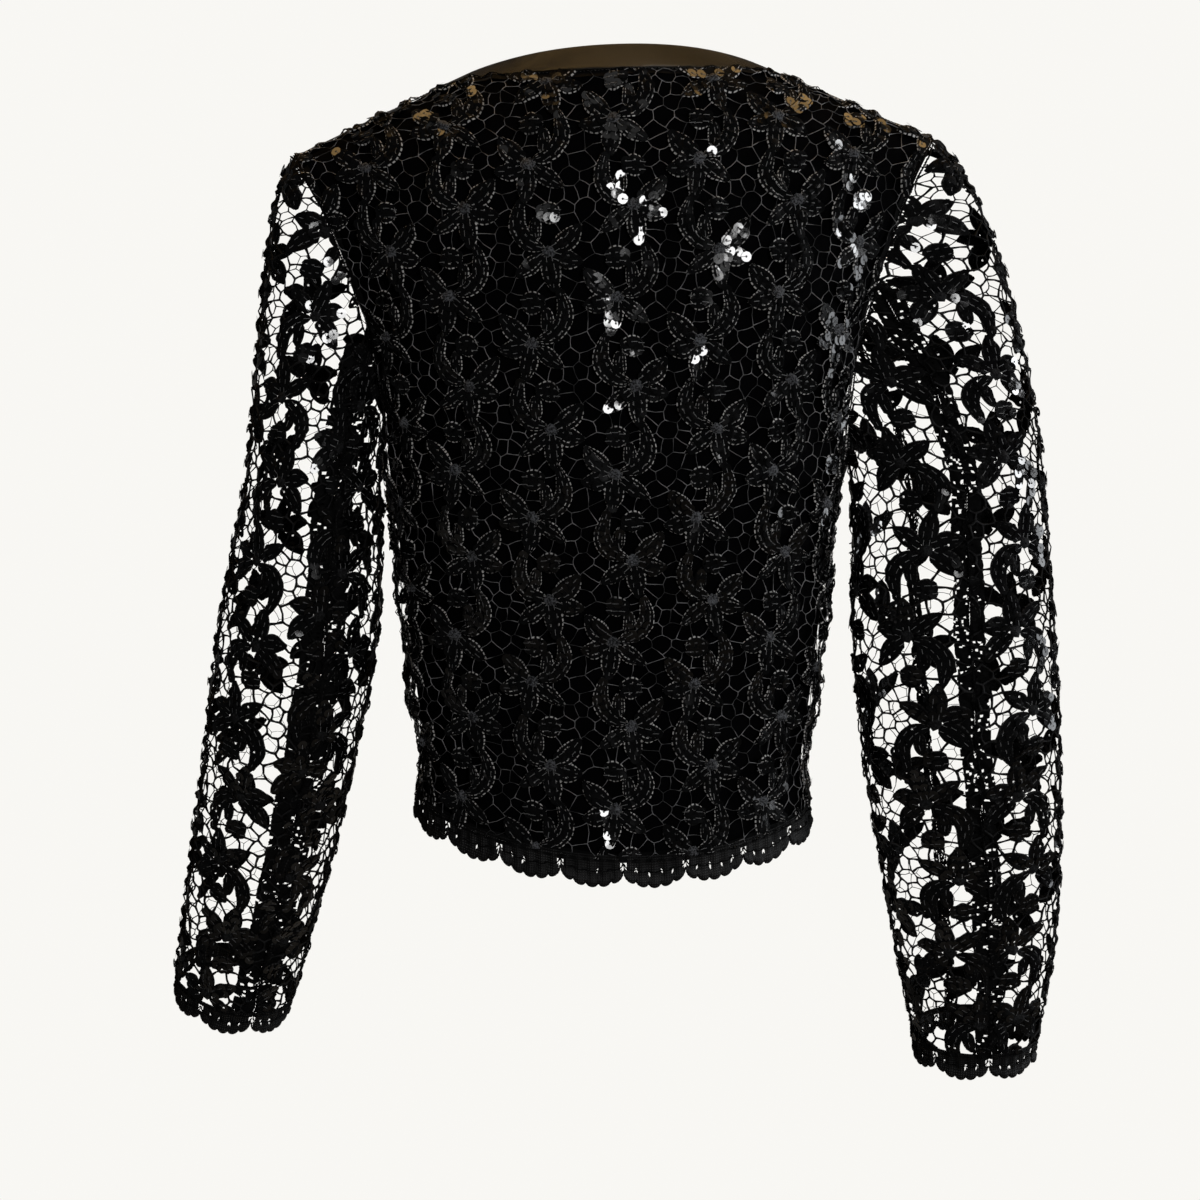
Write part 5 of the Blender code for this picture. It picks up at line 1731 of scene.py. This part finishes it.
def stage_plane(name, middle, turn, finish):
    """A plane of the stage, turned about the X axis."""
    bpy.ops.mesh.primitive_plane_add(size=STAGE_SIZE, location=middle, rotation=(turn, 0.0, 0.0))
    made = bpy.context.object
    made.name = name
    bpy.ops.object.transform_apply(location=True, rotation=True, scale=False)
    made.data.materials.append(finish)


def floor_finish(colour):
    """A plain pale floor."""
    material = bpy.data.materials.new("pale_floor")
    material.use_nodes = True
    shader = material.node_tree.nodes["Principled BSDF"]
    shader.inputs["Base Color"].default_value = (*colour, 1.0)
    shader.inputs["Roughness"].default_value = FLOOR_ROUGH
    return material


def seen_apart(tree, seen, lighting, out):
    """Show one shader to the camera, and let the other light the jacket."""
    path = tree.nodes.new("ShaderNodeLightPath")
    both = tree.nodes.new("ShaderNodeMixShader")
    tree.links.new(path.outputs["Is Camera Ray"], both.inputs["Fac"])
    tree.links.new(lighting.outputs[0], both.inputs[1])
    tree.links.new(seen.outputs[0], both.inputs[2])
    tree.links.new(both.outputs[0], out.inputs["Surface"])


def backdrop_finish(colour):
    """A plain pale cloth backdrop, lit evenly, which lights the jacket only as matt cloth would."""
    material = bpy.data.materials.new("pale_backdrop")
    material.use_nodes = True
    tree = material.node_tree
    tree.nodes.clear()
    glow = tree.nodes.new("ShaderNodeEmission")
    glow.inputs["Color"].default_value = (*colour, 1.0)
    matt = tree.nodes.new("ShaderNodeBsdfDiffuse")
    matt.inputs["Color"].default_value = (*BACKDROP_MATT, 1.0)
    seen_apart(tree, glow, matt, tree.nodes.new("ShaderNodeOutputMaterial"))
    return material


def studio_world(colour, ambient):
    """A pale room that lights the jacket only a little."""
    world = bpy.data.worlds.new("studio")
    bpy.context.scene.world = world
    world.use_nodes = True
    tree = world.node_tree
    tree.nodes.clear()
    seen, lighting = (tree.nodes.new("ShaderNodeBackground") for _ in range(2))
    seen.inputs["Color"].default_value = (*colour, 1.0)
    lighting.inputs["Color"].default_value = (*ROOM_LIGHT, 1.0)
    lighting.inputs["Strength"].default_value = ambient
    seen_apart(tree, seen, lighting, tree.nodes.new("ShaderNodeOutputWorld"))


def area_light(name, place, target, size, power, colour):
    """A soft rectangular light that faces its target."""
    light = bpy.data.lights.new(name, "AREA")
    light.shape = "RECTANGLE"
    light.size, light.size_y = size
    light.energy = power
    light.color = colour
    made = bpy.data.objects.new(name, light)
    made.location = place
    made.rotation_euler = (Vector(target) - Vector(place)).to_track_quat("-Z", "Y").to_euler()
    bpy.context.scene.collection.objects.link(made)


def look_from_photo():
    """The camera at the photograph's angle."""
    made = bpy.data.cameras.new("camera")
    made.sensor_width = SENSOR_WIDTH
    made.lens = FOCAL_PIXELS / IMAGE_PIXELS * SENSOR_WIDTH
    camera = bpy.data.objects.new("camera", made)
    flat = math.cos(CAMERA_ELEVATION)
    away = Vector((
        math.sin(CAMERA_AZIMUTH) * flat,
        -math.cos(CAMERA_AZIMUTH) * flat,
        math.sin(CAMERA_ELEVATION),
    ))
    camera.location = Vector(CAMERA_TARGET) + away * CAMERA_DISTANCE
    camera.rotation_euler = (-away).to_track_quat("-Z", "Y").to_euler()
    bpy.context.scene.collection.objects.link(camera)
    bpy.context.scene.camera = camera


# The add-on

def colour_property(name, description, default):
    return FloatVectorProperty(
        name=name, description=description, default=default, subtype="COLOR", min=0, max=1
    )


class JacketSizes(bpy.types.PropertyGroup):
    """Sizes of the threads and trimmings."""

    thread: FloatProperty(
        name="Net thread", description="How thick a thread of the net is", default=0.0010, unit="LENGTH"
    )
    sequin: FloatProperty(
        name="Sequin radius", description="From a sequin's middle to its rim", default=0.0033, unit="LENGTH"
    )
    cord: FloatProperty(
        name="Edging cord", description="How thick the scallops' cord is", default=0.0017, unit="LENGTH"
    )


class JacketColours(bpy.types.PropertyGroup):
    """Colours of the cloths and threads."""

    # The net's thread is black; its grey here is painted sheen.
    net: colour_property("Net", "Thread of the net", (0.112, 0.111, 0.114))
    leaf: colour_property("Leaves", "Satin stitch of the leaves", (0.0014, 0.0014, 0.0015))
    # The light grey of the leaves' cord is a painted highlight on black thread.
    cord_highlight: colour_property("Leaf cord", "Cord along the leaves", (0.340, 0.332, 0.325))
    knot: colour_property("Flower middles", "Tangle in the middle of a flower", (0.036, 0.037, 0.040))
    sequin: colour_property("Sequins", "Black sequins", (0.0012, 0.0012, 0.0013))
    stitch: colour_property("Sequin stitches", "Thread that holds the sequins", (0.140, 0.140, 0.142))
    lining: colour_property("Lining", "Lining of the body", (0.0008, 0.0008, 0.0010))
    satin: colour_property("Satin", "Band round the neck", (0.0032, 0.0022, 0.0007))
    edging: colour_property("Edging", "Scalloped edging", (0.0015, 0.0015, 0.0016))


class JacketStage(bpy.types.PropertyGroup):
    """Backdrop and light."""

    pale: colour_property("Pale", "Floor, backdrop and room", (0.94, 0.93, 0.90))
    ambient: FloatProperty(name="Ambient", description="Light from all round", default=0.04, min=0)
    key: FloatProperty(name="Key", description="Light behind the camera", default=46.0, min=0, unit="POWER")


def worn(piece, slot, *nodes):
    """Ride on the root and stand for the nodes; the slot is not used."""
    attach(piece, "root")
    if nodes:
        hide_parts(*nodes)


def lace_piece(cut):
    """One lace piece with its knots, leaves, net and turned-in edges."""
    thread = bpy.context.scene.jacket_sizes.thread
    parts = Parts()
    lace_parts(cut, thread, parts)
    edge_parts(cut, thread, parts)
    if cut.sleeve:
        allowance_parts(cut, thread, parts)
    else:
        turned_edge_parts(cut, parts)
    made = laid_object(cut.name + "_cloth", parts, cut.lay, lace_finishes(bool(cut.sleeve)))
    worn(made, "lace", cut.name)
    return made


class JACKET_OT_lining(bpy.types.Operator):
    """Lay the plain lining inside the body"""

    bl_idname = "jacket.lining"
    bl_label = "Lining"

    def execute(self, context):
        form = jacket_form()
        outline = back_outline(form["back"], LINING_HEM_DROP, LINING_TURNED_UP)
        outlines = [("lining_back", outline, "smooth_back")]
        for side in ("left", "right"):
            outline = front_outline(side, form["front"], LINING_HEM_DROP, LINING_TURNED_UP)
            outlines.append((f"lining_front_{side}", outline, "smooth_front"))
        for name, outline, torso in outlines:
            made = lining_object(name + "_cloth", outline, form[torso].lay_mirrored, finishes()["lining"])
            worn(made, "lining", name)
            cut = Cut(name, outline, None, 1.0)
            cut.area()
        return {"FINISHED"}


class JACKET_OT_body_lace(bpy.types.Operator):
    """Lay the lace of the back and the two fronts"""

    bl_idname = "jacket.body_lace"
    bl_label = "Body lace"

    def execute(self, context):
        for cut in lace_cuts():
            if not cut.sleeve:
                lace_piece(cut)
        return {"FINISHED"}


class JACKET_OT_sleeve_lace(bpy.types.Operator):
    """Lay the lace of the sleeves with their seam allowances"""

    bl_idname = "jacket.sleeve_lace"
    bl_label = "Sleeve lace"

    def execute(self, context):
        for cut in lace_cuts():
            if cut.sleeve:
                lace_piece(cut)
        return {"FINISHED"}


class JACKET_OT_sequins(bpy.types.Operator):
    """Sew the strings of sequins on the leaves of each lace piece"""

    bl_idname = "jacket.sequins"
    bl_label = "Sequins"

    def execute(self, context):
        made = finishes()
        radius = context.scene.jacket_sizes.sequin
        for cut in lace_cuts():
            sequins = sequin_object(cut, radius, [made["sequin"], made["stitch"]])
            worn(sequins, None)
            cut.flat_size()
            cut.area()
        return {"FINISHED"}


class JACKET_OT_neck_band(bpy.types.Operator):
    """Fold the satin band round the neck"""

    bl_idname = "jacket.neck_band"
    bl_label = "Neck band"

    def execute(self, context):
        form = jacket_form()
        band, length = band_object("neck_band_cloth", form["back"], form["front"], finishes()["satin"])
        worn(band, "satin", "neck_band")
        return {"FINISHED"}


class JACKET_OT_edging(bpy.types.Operator):
    """Hang the scalloped edging from the hem and the cuffs"""

    bl_idname = "jacket.edging"
    bl_label = "Scalloped edging"

    def execute(self, context):
        form = jacket_form()
        cord = context.scene.jacket_sizes.cord
        lay, reach = hem_lay(form["back"], form["front"])
        strips = [("hem_edging", lay, -reach, reach, 2 * round(reach / SCALLOP_WIDTH), "lace_back_cloth")]
        for side in ("left", "right"):
            lay, girth = cuff_lay(form[side])
            count = round(girth / SCALLOP_WIDTH)
            hangs_from = f"sleeve_{side}_top_cloth"
            strips.append((f"cuff_edging_{side}", lay, SEAM_GAP, girth - SEAM_GAP, count, hangs_from))
        for name, lay, start, end, count, hangs_from in strips:
            parts = edging_parts(start, end, count, cord)
            made = [finishes()["edging_cord"], finishes()["edging"]]
            piece = laid_object(name + "_cloth", parts, lay, made, wander=False)
            worn(piece, "edging", name)
        return {"FINISHED"}


class JACKET_OT_stage(bpy.types.Operator):
    """Set the floor, the backdrop, the lights and the camera"""

    bl_idname = "jacket.stage"
    bl_label = "Stage"

    def execute(self, context):
        stage = context.scene.jacket_stage
        context.scene.view_settings.view_transform = "Standard"
        pale = tuple(stage.pale)
        stage_plane("backdrop", BACKDROP_MIDDLE, math.radians(-90), backdrop_finish(pale))
        stage_plane("floor", (0.0, 0.0, FLOOR_LEVEL), 0.0, floor_finish(pale))
        studio_world(pale, stage.ambient)
        middle = (0.0, 0.0, -0.30)
        area_light("glint", (-0.70, 2.8, 0.42), (0.0, 0.0, -0.20), (0.66, 0.66), stage.key, (1.0, 1.0, 1.0))
        area_light("lamp", (0.0, -0.50, 1.7), middle, (3.4, 0.9), 34.0, (1.0, 0.62, 0.24))
        area_light("window", (-2.3, -0.4, -0.2), middle, (1.2, 1.6), 27.0, (0.92, 0.96, 1.0))
        area_light("pane", (-2.1, 0.25, 0.25), middle, (0.42, 0.60), 19.0, (0.96, 0.98, 1.0))
        area_light("overhead", (0.3, 1.5, 2.2), middle, (1.5, 1.5), 4.0, (1.0, 0.99, 0.97))
        look_from_photo()
        return {"FINISHED"}


class JACKET_PT_panel(bpy.types.Panel):
    """The steps that dress the jacket"""

    bl_label = "Lace jacket"
    bl_idname = "JACKET_PT_panel"
    bl_space_type = "VIEW_3D"
    bl_region_type = "UI"
    bl_category = "Lace jacket"

    def draw(self, context):
        for step in STEPS:
            self.layout.operator(step.bl_idname)
        for group in (context.scene.jacket_sizes, context.scene.jacket_colours, context.scene.jacket_stage):
            for name in group.__annotations__:
                self.layout.prop(group, name)


STEPS = (
    JACKET_OT_lining,
    JACKET_OT_body_lace,
    JACKET_OT_sleeve_lace,
    JACKET_OT_sequins,
    JACKET_OT_neck_band,
    JACKET_OT_edging,
    JACKET_OT_stage,
)
GROUPS = dict(jacket_sizes=JacketSizes, jacket_colours=JacketColours, jacket_stage=JacketStage)


def register():
    for group in (*GROUPS.values(), *STEPS, JACKET_PT_panel):
        bpy.utils.register_class(group)
    for name, group in GROUPS.items():
        setattr(bpy.types.Scene, name, PointerProperty(type=group))


def unregister():
    for name in GROUPS:
        delattr(bpy.types.Scene, name)
    for group in (JACKET_PT_panel, *reversed(STEPS), *GROUPS.values()):
        bpy.utils.unregister_class(group)


def main():
    register()
    for made in bpy.context.selected_objects:
        made.select_set(False)
    bpy.ops.jacket.stage()
    bpy.ops.jacket.lining()
    bpy.ops.jacket.body_lace()
    bpy.ops.jacket.sleeve_lace()
    bpy.ops.jacket.sequins()
    bpy.ops.jacket.neck_band()
    bpy.ops.jacket.edging()


if __name__ == "__main__":
    main()
